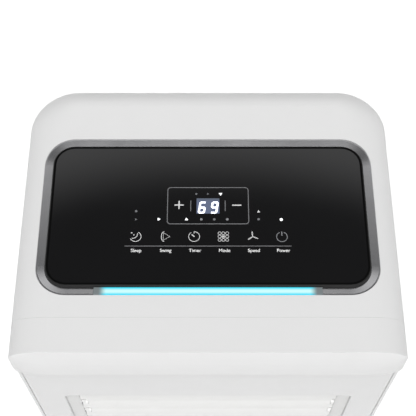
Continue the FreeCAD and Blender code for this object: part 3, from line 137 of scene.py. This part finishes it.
# ---- Cooling circuit ----
# A rotary compressor in black enamel stands on rubber bushes, with its accumulator beside it and
# drawn copper lines bent from it to the coils. The motors' cans and the screws are zinc plated.


def bare_metal(name, light, dark, gloss, scratch, depth):
    """A metal skin with drawn or rolled lines along Z and patches of differing gloss."""
    material, tree, shader = start_material(name, Metallic=1.0)
    place = add_node(tree, "TexCoord").outputs["Object"]
    stretch = add_node(tree, "Mapping", {"Vector": place, "Scale": (1.0, 1.0, 0.06)})
    lines = add_node(
        tree, "TexNoise", {"Vector": stretch.outputs[0], "Scale": 1 / scratch, "Detail": 2.0}
    )
    haze_scale = 25.0  # patches about 40 mm across
    haze = add_node(tree, "TexNoise", {"Vector": place, "Scale": haze_scale, "Detail": 4.0})
    tone = add_node(
        tree, "Mix", {0: haze.outputs["Fac"], 6: linear(light), 7: linear(dark)}, data_type="RGBA"
    )
    sheen = add_node(
        tree,
        "MapRange",
        {"Value": haze.outputs["Fac"], "To Min": gloss - 0.07, "To Max": gloss + 0.08},
    )
    bump = add_node(
        tree, "Bump", {"Height": lines.outputs["Fac"], "Distance": depth, "Strength": 1.0}
    )
    feed(
        tree,
        shader,
        Base_Color=tone.outputs[2],
        Roughness=sheen.outputs["Result"],
        Normal=bump.outputs["Normal"],
    )
    return material


# Stoved enamel is smooth and glossy; nitrile rubber is matt, with hardly a highlight. Drawn copper
# and zinc plate are bright metals, dulled in patches by handling. Their lines run up the part.
black_enamel = moulded("black_stoved_enamel", "101011", "0B0B0C", 0.22, 2.0 * mm, 0.02 * mm, 1.5)
bush_rubber = moulded("black_nitrile_rubber", "171717", "121212", 0.68, 0.7 * mm, 0.03 * mm, 1.52)
bare_copper = bare_metal("drawn_copper_tube", "C98A68", "A8623F", 0.3, 0.5 * mm, 0.005 * mm)
zinc_steel = bare_metal("zinc_plated_steel", "A4A8AA", "8B8F92", 0.36, 0.4 * mm, 0.006 * mm)
dress(black_enamel, "compressor")
dress(bush_rubber, "compressor_feet", "cord_gland", "upper_drain_plug", "lower_drain_plug")
dress(bare_copper, "refrigerant_pipes")
dress(zinc_steel, "upper_fan_motor", "lower_fan_motor", "splash_motor", "louver_motor", "rear_screws")

# ---- Coils ----
# Each coil is a stack of thin aluminium fins pressed on to copper hairpins. The rolled fins are
# pale and bright, with faint rolling lines, so the coil's face glints between its grooves.
fin_aluminium = bare_metal("rolled_fin_aluminium", "C6C9CC", "B4B8BC", 0.34, 0.5 * mm, 0.004 * mm)
dress(fin_aluminium, "evaporator_coil", "condenser_coil")

# ---- Air path ----
# Blower scrolls, the exhaust duct, drip tray and electrical box are moulded in natural
# polypropylene, and the wheels in black. The duct to the outlet is foam, which keeps the cold in.

# Natural polypropylene is off-white and waxy, and the black wheels have the same low sheen. The
# foam is dull grey, with beads 3 mm across that show as a shallow pebbling.
inner_white = moulded("natural_polypropylene", "D9D9D4", "CFCFCA", 0.48, 0.8 * mm, 0.02 * mm, 1.49)
black_wheel = moulded("black_polypropylene", "1D1D1E", "171718", 0.45, 0.7 * mm, 0.02 * mm, 1.49)
grey_foam = moulded("moulded_polystyrene_foam", "8D8F92", "7E8084", 0.8, 3.0 * mm, 0.4 * mm, 1.45)
dress(inner_white, "upper_blower_housing", "lower_blower_housing", "exhaust_duct", "drip_tray")
dress(inner_white, "electrical_box", "vane_link", "tank_float")
dress(grey_foam, "discharge_duct")
dress(black_wheel, "upper_blower_wheel", "lower_blower_wheel", "splash_wheel")
for name in cad_nodes:
    if name.startswith("air_vane"):
        dress(inner_white, name)

# ---- Air outlet ----
# Five bowed blades in white ABS swing together on pins in the outlet frame, which fills the
# opening in the front panel. Upright vanes behind them turn the air to the left and right.

# Moulded ABS: a smooth pale white, a little glossier than the cabinet.
blade_abs = moulded("white_abs_blades", "CACAC9", "C7C7C6", 0.3, 1.0 * mm, 0.006 * mm, 1.54)
for name in cad_nodes:
    if name.startswith("louver_blade"):
        dress(blade_abs, name)

# The bar that ties the blades together, in black acetal: slippery, with a waxy shine.
black_acetal = moulded("black_acetal", "17181A", "121315", 0.4, 0.8 * mm, 0.01 * mm, 1.48)
dress(black_acetal, "louver_link")

# The outlet frame has the blades' colour in front of them. Behind them its walls are painted near black
# with a fine cell pattern and made fully matt: painted shade, for the dark throat seen between the
# blades.
frame_skin = moulded(
    "white_abs_with_painted_shade_behind_blades", "C6C6C5", "C3C3C2", 0.3, 1.0 * mm, 0.006 * mm, 1.54
)
frame_tree = frame_skin.node_tree
frame_shader = frame_tree.nodes["Principled BSDF"]
blade_low, blade_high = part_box("louver_blade_3")
painted_shade_setback = 2 * mm
painted_shade_blend = 0.3 * mm
shade_cell_size = 1.2 * mm
painted_shade_start = (blade_low.y + blade_high.y) / 2 + painted_shade_setback
frame_place = add_node(frame_tree, "TexCoord").outputs["Object"]
frame_depth = add_node(frame_tree, "SeparateXYZ", {"Vector": frame_place}).outputs["Y"]
# Painted shade: from a little behind the blades' middle, the frame's walls turn near black.
painted_shade_mask = add_node(
    frame_tree,
    "MapRange",
    {"Value": frame_depth, "From Min": painted_shade_start, "From Max": painted_shade_start + painted_shade_blend},
).outputs["Result"]
shade_cells = add_node(frame_tree, "TexVoronoi", {"Vector": frame_place, "Scale": 1 / shade_cell_size})
painted_shade_tone = add_node(
    frame_tree,
    "Mix",
    {0: shade_cells.outputs["Distance"], 6: linear("0E0E0F"), 7: linear("1C1C1E")},
    data_type="RGBA",
)
white_tone = frame_shader.inputs["Base Color"].links[0].from_socket
white_sheen = frame_shader.inputs["Roughness"].links[0].from_socket
painted_shade_roughness = 0.9
frame_tone = add_node(
    frame_tree, "Mix", {0: painted_shade_mask, 6: white_tone, 7: painted_shade_tone.outputs[2]}, data_type="RGBA"
)
frame_sheen = add_node(frame_tree, "Mix", {0: painted_shade_mask, 2: white_sheen, 3: painted_shade_roughness})
feed(frame_tree, frame_shader, Base_Color=frame_tone.outputs[2], Roughness=frame_sheen.outputs[0])
dress(frame_skin, "louver_frame")

# ---- Cabinet ----
# The outer mouldings in white ABS: top cover, front with its overhanging lip, sides with their grip
# cups, and a back that is held by screws and carries the filter grilles and the exhaust port.

# Moulded ABS with a satin skin from the mould: an even white with broad, weak highlights. The real
# grain is finer than 0.2 mm; it is drawn at 1 mm to show.
cabinet_shine = 0.35
cabinet_abs = moulded(
    "white_satin_abs", "C4C4C4", "C1C1C1", 0.33, 1.0 * mm, 0.006 * mm, 1.54, cabinet_shine
)
dress(cabinet_abs, "top_cover", "front_panel", "left_side_panel", "right_side_panel")
dress(cabinet_abs, "rear_panel", "grip_cups", "exhaust_collar")
dress(cabinet_abs, "upper_filter_grille", "lower_filter_grille")

# ---- Filter ----
# A woven nylon net behind the upper grille keeps lint off the coil, and pulls out with the grille.
# It looks dark and matt, because most of what shows is the gap between the threads.
net, net_tree, net_shader = start_material("woven_nylon_net", Roughness=0.6, IOR=1.53)
net_place = add_node(net_tree, "TexCoord").outputs["Object"]
# Threads 1.6 mm wide with gaps as wide, coarser than a real net's, so that they show.
thread_width = 1.6 * mm
net_scale = 1 / thread_width / 20 * math.pi
warp, weft = [
    add_node(net_tree, "TexWave", {"Vector": net_place, "Scale": net_scale}, bands_direction=way)
    for way in ("X", "Z")
]
weave = add_node(
    net_tree, "Math", {0: warp.outputs["Fac"], 1: weft.outputs["Fac"]}, operation="MAXIMUM"
)
net_tone = add_node(
    net_tree, "Mix", {0: weave.outputs[0], 6: linear("0A0A0B"), 7: linear("3A3B3E")}, data_type="RGBA"
)
thread_relief = 0.3 * mm
net_bump = add_node(
    net_tree, "Bump", {"Height": weave.outputs[0], "Distance": thread_relief, "Strength": 1.0}
)
feed(net_tree, net_shader, Base_Color=net_tone.outputs[2], Normal=net_bump.outputs["Normal"])
dress(net, "upper_filter_mesh")

# ---- Control board ----
# A green circuit board lies under the glass. It carries the touch springs and a black block with
# the two digits, whose light shines up through the glass.

# Solder mask is a glossy green lacquer; the display block is matt black plastic.
solder_mask = moulded("green_solder_mask", "1F5A36", "174A2B", 0.3, 1.5 * mm, 0.01 * mm, 1.55)
display_black = moulded("black_display_block", "141414", "101010", 0.5, 0.6 * mm, 0.01 * mm, 1.5)
dress(solder_mask, "control_board")
dress(display_black, "display_module")

# ---- Silver ring ----
# A die-cast frame that sits in the top cover and holds the glass. Its blasted and anodised skin is
# a satin silver that catches the room as soft bands, brighter towards the light.
ring_metal, ring_tree, ring_shader = start_material("satin_anodised_aluminium", Metallic=1.0)
ring_place = add_node(ring_tree, "TexCoord").outputs["Object"]
ring_haze = add_node(ring_tree, "TexNoise", {"Vector": ring_place, "Scale": 30.0, "Detail": 3.0})
grit_size = 0.5 * mm
ring_grit = add_node(
    ring_tree, "TexNoise", {"Vector": ring_place, "Scale": 1 / grit_size, "Detail": 2.0}
)
ring_tone = add_node(
    ring_tree,
    "Mix",
    {0: ring_haze.outputs["Fac"], 6: linear("C0C0C2"), 7: linear("B2B2B4")},
    data_type="RGBA",
)
ring_sheen = add_node(
    ring_tree, "MapRange", {"Value": ring_haze.outputs["Fac"], "To Min": 0.2, "To Max": 0.28}
)
ring_bump = add_node(
    ring_tree, "Bump", {"Height": ring_grit.outputs["Fac"], "Distance": 0.004 * mm, "Strength": 1.0}
)
feed(
    ring_tree,
    ring_shader,
    Base_Color=ring_tone.outputs[2],
    Roughness=ring_sheen.outputs["Result"],
    Normal=ring_bump.outputs["Normal"],
)
dress(ring_metal, "bezel_ring")

# ---- Touch glass ----
# Toughened soda-lime glass, printed black on its back and polished on top. Its ground edge is matt,
# so it reads as a black line round the panel.
glass, glass_tree, glass_shader = start_material("black_printed_glass", IOR=1.52)
glass_low, glass_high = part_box("control_glass")
panel_middle = (glass_low.y + glass_high.y) / 2
corner_radius = 20 * mm
matt_edge_start = 2.0 * mm
matt_edge_full = 1.7 * mm
inside = (glass_high.x - corner_radius, glass_high.y - panel_middle - corner_radius, 1)
glass_place = add_node(glass_tree, "TexCoord").outputs["Object"]
centred = add_node(
    glass_tree, "VectorMath", {0: glass_place, 1: (0, panel_middle, 0)}, operation="SUBTRACT"
)
mirrored = add_node(glass_tree, "VectorMath", {0: centred.outputs[0]}, operation="ABSOLUTE")
beyond = add_node(
    glass_tree, "VectorMath", {0: mirrored.outputs[0], 1: inside}, operation="SUBTRACT"
)
kept = add_node(glass_tree, "VectorMath", {0: beyond.outputs[0], 1: (0, 0, 0)}, operation="MAXIMUM")
reach = add_node(glass_tree, "VectorMath", {0: kept.outputs[0]}, operation="LENGTH")
rim = add_node(
    glass_tree,
    "MapRange",
    {
        "Value": reach.outputs["Value"],
        "From Min": corner_radius - matt_edge_start,
        "From Max": corner_radius - matt_edge_full,
    },
)
glass_smear = add_node(glass_tree, "TexNoise", {"Vector": glass_place, "Scale": 14.0, "Detail": 5.0})
glass_tone = add_node(
    glass_tree,
    "Mix",
    {0: glass_smear.outputs["Fac"], 6: linear("0A0A0B"), 7: linear("0D0D0E")},
    data_type="RGBA",
)
glass_sheen = add_node(
    glass_tree, "MapRange", {"Value": glass_smear.outputs["Fac"], "To Min": 0.03, "To Max": 0.09}
)
ground_roughness = 0.8
rim_sheen = add_node(
    glass_tree,
    "Mix",
    {0: rim.outputs["Result"], 2: glass_sheen.outputs["Result"], 3: ground_roughness},
)
rim_tone = add_node(
    glass_tree,
    "Mix",
    {0: rim.outputs["Result"], 6: glass_tone.outputs[2], 7: linear("020202")},
    data_type="RGBA",
)
feed(glass_tree, glass_shader, Base_Color=rim_tone.outputs[2], Roughness=rim_sheen.outputs[0])
dress(glass, "control_glass")

# ---- Light bar ----
# A clear acrylic guide with a matt face, along the front edge of the glass. Cyan diodes light it
# from its ends, so it is palest along its middle, and its last few millimetres stay dark.
glow, glow_tree, glow_shader = start_material("lit_cyan_light_guide", Roughness=0.5, IOR=1.49)
bar_low, bar_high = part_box("light_bar")
glow_place = add_node(glow_tree, "TexCoord").outputs["Object"]
glow_split = add_node(glow_tree, "SeparateXYZ", {"Vector": glow_place})
bar_middle = (bar_low.y + bar_high.y) / 2
pale_core = 0.5 * mm
full_colour = 3.8 * mm
lit_end = 12 * mm
dark_end = 4 * mm
off_middle = add_node(
    glow_tree, "Math", {0: glow_split.outputs["Y"], 1: bar_middle}, operation="SUBTRACT"
)
across = add_node(glow_tree, "Math", {0: off_middle.outputs[0]}, operation="ABSOLUTE")
whiteness = add_node(
    glow_tree,
    "MapRange",
    {
        "Value": across.outputs[0],
        "From Min": pale_core,
        "From Max": full_colour,
        "To Min": 1.0,
        "To Max": 0.0,
    },
    interpolation_type="SMOOTHSTEP",
)
glow_tone = add_node(
    glow_tree,
    "Mix",
    {0: whiteness.outputs["Result"], 6: linear("38DCF6"), 7: linear("CCFCFB")},
    data_type="RGBA",
)
along = add_node(glow_tree, "Math", {0: glow_split.outputs["X"]}, operation="ABSOLUTE")
fade = add_node(
    glow_tree,
    "MapRange",
    {
        "Value": along.outputs[0],
        "From Min": bar_high.x - lit_end,
        "From Max": bar_high.x - dark_end,
        "To Min": 1.0,
        "To Max": 0.0,
    },
    interpolation_type="SMOOTHSTEP",
)
clear_end = add_node(
    glow_tree,
    "Mix",
    {0: fade.outputs["Result"], 6: linear("6C7375"), 7: linear("12272B")},
    data_type="RGBA",
)
feed(
    glow_tree,
    glow_shader,
    Base_Color=clear_end.outputs[2],
    Emission_Color=glow_tone.outputs[2],
    Emission_Strength=fade.outputs["Result"],
)
dress(glow, "light_bar")

# ---- Printed and lit marks ----
# Key symbols and words are printed in white ink on the glass. The digits and lamps are windows in
# its black print, lit from below. Every mark is 0.04 mm thick and lies on top of the glass.
print_height = glass_high.z
mark_thickness = 0.04 * mm


def lit(name, colour, strength):
    """A translucent window lit from below, or a print given a painted glow; a little brighter in its
    middle tones.
    """
    material, tree, shader = start_material(name, Roughness=0.45, IOR=1.5)
    shader.inputs["Base Color"].default_value = linear(colour)
    shader.inputs["Emission Color"].default_value = linear(colour)
    place = add_node(tree, "TexCoord").outputs["Object"]
    speck = add_node(tree, "TexNoise", {"Vector": place, "Scale": 900.0, "Detail": 1.0})
    level = add_node(
        tree,
        "MapRange",
        {"Value": speck.outputs["Fac"], "To Min": strength * 0.92, "To Max": strength * 1.08},
    )
    feed(tree, shader, Emission_Strength=level.outputs["Result"])
    return material


# Inks are flat and even; the faint glow they are given is painted light, since print gives none of its
# own. Lamps are matt windows, grey when unlit and near white when lit. The bead round the glass is
# silicone, dull black with hardly a highlight.
# Painted light: the white, label and grey inks glow a little, so the print reads brighter.
white_ink_painted_glow = lit("white_key_ink_painted_glow", "B4B4B4", 0.12)
label_ink_painted_glow = lit("white_label_ink_painted_glow", "D8D8D8", 0.25)
grey_ink_painted_glow = lit("grey_line_ink_painted_glow", "646466", 0.02)
black_seal = lit("matt_black_silicone_bead", "050505", 0.0)
black_seal.node_tree.nodes["Principled BSDF"].inputs["Specular IOR Level"].default_value = 0.05
dim_lamp = lit("unlit_lamp_window", "606164", 0.02)
half_lamp = lit("half_lit_lamp_window", "747578", 0.05)
bright_lamp = lit("lit_lamp_window", "F2F4F6", 0.9)
digit_light = lit("lit_digit_segments", "F4F6FF", 1.3)


def haze_material():
    """The digits' smoked window: their light leaks into it, bluest close to them."""
    blue_edge, grey_edge = 11 * mm, 16.5 * mm
    material, tree, shader = start_material("smoked_digit_window", Roughness=0.4, IOR=1.5)
    shader.inputs["Base Color"].default_value = linear("1A1D28")
    place = add_node(tree, "TexCoord").outputs["Object"]
    height = add_node(tree, "SeparateXYZ", {"Vector": place}).outputs["Y"]
    fall = add_node(
        tree,
        "MapRange",
        {"Value": height, "From Min": panel_middle + blue_edge, "From Max": panel_middle + grey_edge},
        interpolation_type="SMOOTHSTEP",
    )
    leak = add_node(
        tree,
        "Mix",
        {0: fall.outputs["Result"], 6: linear("5F6A86"), 7: linear("565E68")},
        data_type="RGBA",
    )
    feed(tree, shader, Emission_Color=leak.outputs[2])
    shader.inputs["Emission Strength"].default_value = 0.85
    return material


window_light = haze_material()


def flatten(piece, x, y, lift):
    """Presses a mark thin and puts it on the glass at x, y in millimetres from the panel's middle."""
    low = min(v.co.z for v in piece.data.vertices)
    high = max(v.co.z for v in piece.data.vertices)
    thin = mark_thickness / max(high - low, 1e-9)
    piece.data.transform(
        Matrix.Translation((x * mm, panel_middle + y * mm, print_height + lift * mm))
        @ Matrix.Diagonal((1, 1, thin, 1))
        @ Matrix.Translation((0, 0, -low))
    )


def stroke(points, width, closed=False):
    """A printed line through points given in millimetres, as a mesh of even width."""
    curve = bpy.data.curves.new("line", "CURVE")
    curve.dimensions = "3D"
    curve.bevel_depth = width * mm / 2
    curve.bevel_resolution = 2
    curve.use_fill_caps = True
    spline = curve.splines.new("POLY")
    spline.points.add(len(points) - 1)
    for point, (x, y) in zip(spline.points, points):
        point.co = (x * mm, y * mm, 0, 1)
    spline.use_cyclic_u = closed
    line = bpy.data.objects.new("line", curve)
    bpy.context.scene.collection.objects.link(line)
    bpy.context.view_layer.objects.active = line
    line.select_set(True)
    bpy.ops.object.convert(target="MESH")
    bpy.ops.object.select_all(action="DESELECT")
    return line


def arc(x, y, radius, start, end, steps=24):
    """Points of an arc, in millimetres and degrees."""
    turns = [math.radians(start + (end - start) * i / steps) for i in range(steps + 1)]
    return [(x + radius * math.cos(a), y + radius * math.sin(a)) for a in turns]


def patch(radius, sides, turn=0.0):
    """A filled dot or triangle with a thin edge, in millimetres and degrees."""
    bpy.ops.mesh.primitive_circle_add(vertices=sides, radius=radius * mm, fill_type="NGON")
    piece = bpy.context.active_object
    bpy.ops.object.mode_set(mode="EDIT")
    bpy.ops.mesh.select_all(action="SELECT")
    bpy.ops.mesh.extrude_region_move(TRANSFORM_OT_translate={"value": (0, 0, 0.2 * mm)})
    bpy.ops.object.mode_set(mode="OBJECT")
    piece.data.transform(Matrix.Rotation(math.radians(turn), 4, "Z"))
    bpy.ops.object.select_all(action="DESELECT")
    return piece


def joined(pieces, name, material, x, y, lift=0.0):
    """Joins the strokes of one mark, flattens it on to the glass and fixes it to the cabinet."""
    for piece in pieces:
        piece.select_set(True)
    bpy.context.view_layer.objects.active = pieces[0]
    if len(pieces) > 1:
        bpy.ops.object.join()
    bpy.ops.object.select_all(action="DESELECT")
    mark = pieces[0]
    mark.name = name
    mark.data.materials.clear()
    mark.data.materials.append(material)
    flatten(mark, x, y, lift)
    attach(mark, "cabinet")
    return mark


def rounded_outline(width, height, radius):
    """Points of a rectangle with round corners about the origin, in millimetres."""
    x, y = width / 2 - radius, height / 2 - radius
    corners = [(x, y, 0), (-x, y, 90), (-x, -y, 180), (x, -y, 270)]
    return [p for cx, cy, turn in corners for p in arc(cx, cy, radius, turn, turn + 90, 6)]


display_y = 7.9
outline = rounded_outline(75.2, 38.2, 3)
outline_width = 0.8
joined([stroke(outline, outline_width, True)], "display_outline", grey_ink_painted_glow, 0, display_y)
divider_reach = 5.6
for side in (-1, 1):
    name = "display_divider_%s" % ("left" if side < 0 else "right")
    divider = stroke([(0, -divider_reach), (0, divider_reach)], outline_width)
    joined([divider], name, grey_ink_painted_glow, side * 16.0, display_y - 0.3)
arm, arm_width = 4.3, 1.3
plus = [stroke([(-arm, 0), (arm, 0)], arm_width), stroke([(0, -arm), (0, arm)], arm_width)]
joined(plus, "key_plus", white_ink_painted_glow, -26.9, 8.5)
joined([stroke([(-arm, 0), (arm, 0)], arm_width)], "key_minus", white_ink_painted_glow, 26.7, 8.3)

# The digits are two seven-segment blocks, 12.4 mm high and slanted 9 degrees.
digit_height = 12.4
digit_width = 6.6
segment_width = 1.75
segment_trim = 0.12
slant = math.tan(math.radians(9))
h, w = digit_height / 2 - segment_width / 2, digit_width / 2 - segment_width / 2
segment_ends = {
    "a": ((-w, h), (w, h)),
    "b": ((w, h), (w, 0)),
    "c": ((w, 0), (w, -h)),
    "d": ((-w, -h), (w, -h)),
    "e": ((-w, 0), (-w, -h)),
    "f": ((-w, h), (-w, 0)),
    "g": ((-w, 0), (w, 0)),
}


def digit(segments):
    """The lit segments of one slanted digit."""
    pieces = []
    for key in segments:
        (x0, y0), (x1, y1) = segment_ends[key]
        x0, x1 = x0 + slant * y0, x1 + slant * y1
        length = math.hypot(x1 - x0, y1 - y0)
        step_x = (x1 - x0) / length * segment_trim
        step_y = (y1 - y0) / length * segment_trim
        ends = [(x0 + step_x, y0 + step_y), (x1 - step_x, y1 - step_y)]
        pieces.append(stroke(ends, segment_width))
    return pieces


bead_width = 1.9
edge_bead = stroke(rounded_outline(290.4, 141.6, 18), bead_width, closed=True)
joined([edge_bead], "glass_edge_bead", black_seal, 0.0, -0.2)
window_width, window_height = 21.2 * mm, 16.0 * mm
bpy.ops.mesh.primitive_cube_add(size=1)
pane = bpy.context.active_object
pane.data.transform(Matrix.Diagonal((window_width, window_height, 0.2 * mm, 1)))
bpy.ops.object.select_all(action="DESELECT")
joined([pane], "digit_window", window_light, 0.0, 7.5)
digit_y, digit_lift = 5.8, 0.06
joined(digit("acdefg"), "digit_tens", digit_light, -5.4, digit_y, digit_lift)
joined(digit("abcdfg"), "digit_units", digit_light, 6.0, digit_y, digit_lift)

# Small lamps show the mode, the fan speed and the timer. Each row gives a lamp's x and y, radius,
# number of sides, turn in degrees and window.
lamps = {
    "lamp_cool": (-10.9, 20.2, 1.2, 4, 20, dim_lamp),
    "lamp_dry": (-0.1, 20.2, 1.2, 3, 15, dim_lamp),
    "lamp_fan": (11.7, 20.2, 1.8, 3, 180, bright_lamp),
    "lamp_heat": (-19.9, -6.5, 1.7, 3, 0, bright_lamp),
    "lamp_low": (-6.2, -6.5, 1.25, 20, 0, half_lamp),
    "lamp_medium": (5.8, -6.5, 1.2, 20, 0, dim_lamp),
    "lamp_high": (17.8, -6.5, 1.25, 20, 0, half_lamp),
    "lamp_sleep": (-66.6, 2.0, 1.2, 20, 0, dim_lamp),
    "lamp_lock": (-66.6, -6.6, 1.3, 3, 30, dim_lamp),
    "lamp_swing": (-45.5, -6.4, 1.7, 3, 270, bright_lamp),
    "lamp_strong": (46.8, 1.5, 1.7, 3, 0, white_ink_painted_glow),
    "lamp_soft": (46.7, -6.5, 1.2, 20, 0, dim_lamp),
    "lamp_power": (67.6, -6.8, 1.35, 20, 0, bright_lamp),
}
for name, (x, y, radius, sides, turn, material) in lamps.items():
    joined([patch(radius, sides, turn)], name, material, x, y)

# The symbols over the keys: a moon with two stars, a swinging arrow, a clock, nine dots for the
# mode, a three-bladed fan and a power sign.
line_width = 0.65
moon = [stroke(arc(0, 0, 5.0, -155, 65), line_width)]
moon += [stroke(arc(-2.6, 2.6, 4.3, -102, 12), line_width)]
moon += [stroke(arc(-3.7, 3.9, 0.5, 0, 360, 8), 0.5), stroke(arc(-1.6, 1.7, 0.4, 0, 360, 8), 0.5)]
swing = [stroke([(-1.4, -3.7), (4.6, 0), (-1.4, 3.7)], line_width, closed=True)]
swing_arc = [(-0.6, 5.0), (-2.0, 4.3)] + arc(6.4, 0, 9.6, 154, 206) + [(-0.6, -5.0)]
swing += [stroke(swing_arc, line_width)]
timer = [stroke(arc(0, 0, 5.0, -235, 90, 30), line_width), stroke([(0, 5.0), (0, 3.2)], line_width)]
timer += [stroke([(-2.2, 2.2), (0.3, -0.2)], 1.1)]
mode = [stroke(arc(3.4 * i, 3.4 * j, 1.45, 0, 360, 12), 0.5) for i in (-1, 0, 1) for j in (-1, 0, 1)]
mode += [stroke([(-0.9, 0), (0.9, 0)], 1.3)]
fan = []
for turn in (95, 215, 335):
    a = math.radians(turn)
    ux, uy = math.cos(a), math.sin(a)
    tip = (5.4 * ux, 5.4 * uy)
    fan.append(stroke([(0, 0), (3.0 * ux - 0.5 * uy, 3.0 * uy + 0.5 * ux), tip], 0.5))
    fan.append(stroke([(0, 0), (3.0 * ux + 0.3 * uy, 3.0 * uy - 0.3 * ux), tip], 0.5))
power = [stroke(arc(0, -0.3, 4.9, 112, 428, 32), line_width), stroke([(0, 5.0), (0, 0.8)], 1.0)]
icons = {
    "sleep": moon,
    "swing": swing,
    "timer": timer,
    "mode": mode,
    "speed": fan,
    "power": power,
}
key_pitch = 26.75
icon_y, label_y = -24.2, -38.4
letter_size = 4.6 * mm
for index, (name, pieces) in enumerate(icons.items()):
    x = (index - 2.5) * key_pitch
    icon_ink = half_lamp if name == "power" else white_ink_painted_glow
    joined(pieces, "icon_" + name, icon_ink, x + 0.7, icon_y)
    bpy.ops.object.text_add()
    label = bpy.context.active_object
    label.data.body = name.capitalize()
    label.data.align_x = "CENTER"
    label.data.align_y = "CENTER"
    label.data.size = letter_size
    label.data.extrude = 0.1 * mm
    bpy.ops.object.convert(target="MESH")
    bpy.ops.object.select_all(action="DESELECT")
    joined([label], "label_" + name, label_ink_painted_glow, x + 1.6, label_y)
joined([stroke([(-76, 0), (76, 0)], 0.7)], "key_underline", grey_ink_painted_glow, 0, -33.8)

# ---- Floor, light and camera ----
# A pale painted floor in a bright studio. A wide soft light hangs overhead, a little to the front.
# One white panel stands high behind the object and another in front of it.

# Matt emulsion paint: pale and even, with no highlight.
bpy.ops.mesh.primitive_plane_add(size=14)
floor = bpy.context.active_object
floor.name = "studio_floor"
paint = start_material("pale_studio_floor", Roughness=0.9, Base_Color=linear("E1E1E1"))[0]
floor.data.materials.append(paint)

world = bpy.data.worlds.new("studio")
bpy.context.scene.world = world
world.use_nodes = True
sky = world.node_tree
toward = add_node(sky, "SeparateXYZ", {"Vector": add_node(sky, "TexCoord").outputs["Generated"]})
aside = add_node(sky, "Math", {0: toward.outputs["X"]}, operation="ABSOLUTE").outputs[0]
upward, backward = toward.outputs["Z"], toward.outputs["Y"]

# Soft steps of a direction: from one value to another, the light goes from one level to another.
soft_steps = {
    "walls": (upward, 0.05, 0.18, 0.75, 0.12),
    "ceiling": (upward, 0.845, 0.88, 1.0, 0.9),
    "rear_bottom": (upward, 0.60, 0.74, 0.0, 1.0),
    "rear_top": (upward, 0.843, 0.881, 1.0, 0.0),
    "rear_ends": (aside, 0.17, 0.32, 1.0, 0.0),
    "behind": (backward, 0.0, 0.3, 0.0, 1.0),
    "front_bottom": (upward, 0.1, 0.3, 0.0, 1.0),
    "front_top": (upward, 0.5, 0.7, 1.0, 0.0),
    "front_ends": (aside, 0.35, 0.6, 1.0, 0.0),
    "in_front": (backward, -0.3, 0.0, 1.0, 0.0),
}
levels = {}
for name, (value, start, end, start_level, end_level) in soft_steps.items():
    levels[name] = add_node(
        sky,
        "MapRange",
        {
            "Value": value,
            "From Min": start,
            "From Max": end,
            "To Min": start_level,
            "To Max": end_level,
        },
        interpolation_type="SMOOTHSTEP",
    ).outputs["Result"]

# Each level here is made from two others, or from one and a brightness.
mixes = (
    ("room", "walls", "MULTIPLY", "ceiling"),
    ("rear_rise", "rear_bottom", "MULTIPLY", "rear_top"),
    ("rear_side", "rear_ends", "MULTIPLY", "behind"),
    ("rear_shape", "rear_rise", "MULTIPLY", "rear_side"),
    ("rear_panel", "rear_shape", "MULTIPLY", 0.97),
    ("front_rise", "front_bottom", "MULTIPLY", "front_top"),
    ("front_side", "front_ends", "MULTIPLY", "in_front"),
    ("front_shape", "front_rise", "MULTIPLY", "front_side"),
    ("front_panel", "front_shape", "MULTIPLY", 1.5),
    ("panels", "rear_panel", "ADD", "front_panel"),
    ("studio", "room", "ADD", "panels"),
)
for name, first, operation, second in mixes:
    pair = {0: levels[first], 1: levels.get(second, second)}
    levels[name] = add_node(sky, "Math", pair, operation=operation).outputs[0]
backdrop = sky.nodes["Background"]
backdrop.inputs["Color"].default_value = (1, 1, 1, 1)
sky.links.new(levels["studio"], backdrop.inputs["Strength"])

bpy.ops.object.light_add(type="SUN", location=(0, -1.0, 3.0))
key = bpy.context.active_object
key.data.energy = 4.0
key.data.angle = math.radians(26)
sun_direction = Vector((0, 0, 0)) - Vector((0, -0.38, 1.0))
key.rotation_euler = sun_direction.to_track_quat("-Z", "Y").to_euler()

# The camera looks down at the top from in front.
top_height = 0.7
camera_setback = 405.5 * mm
camera_rise = 777 * mm
camera_tilt = 62.1
camera_data = bpy.data.cameras.new("camera")
camera_data.sensor_width = 36
camera_data.lens = 81.8
camera = bpy.data.objects.new("camera", camera_data)
bpy.context.scene.collection.objects.link(camera)
camera.location = (0, -camera_setback, top_height + camera_rise)
camera.rotation_euler = (math.radians(90 - camera_tilt), 0, 0)
bpy.context.scene.camera = camera
bpy.context.scene.view_settings.view_transform = "Standard"
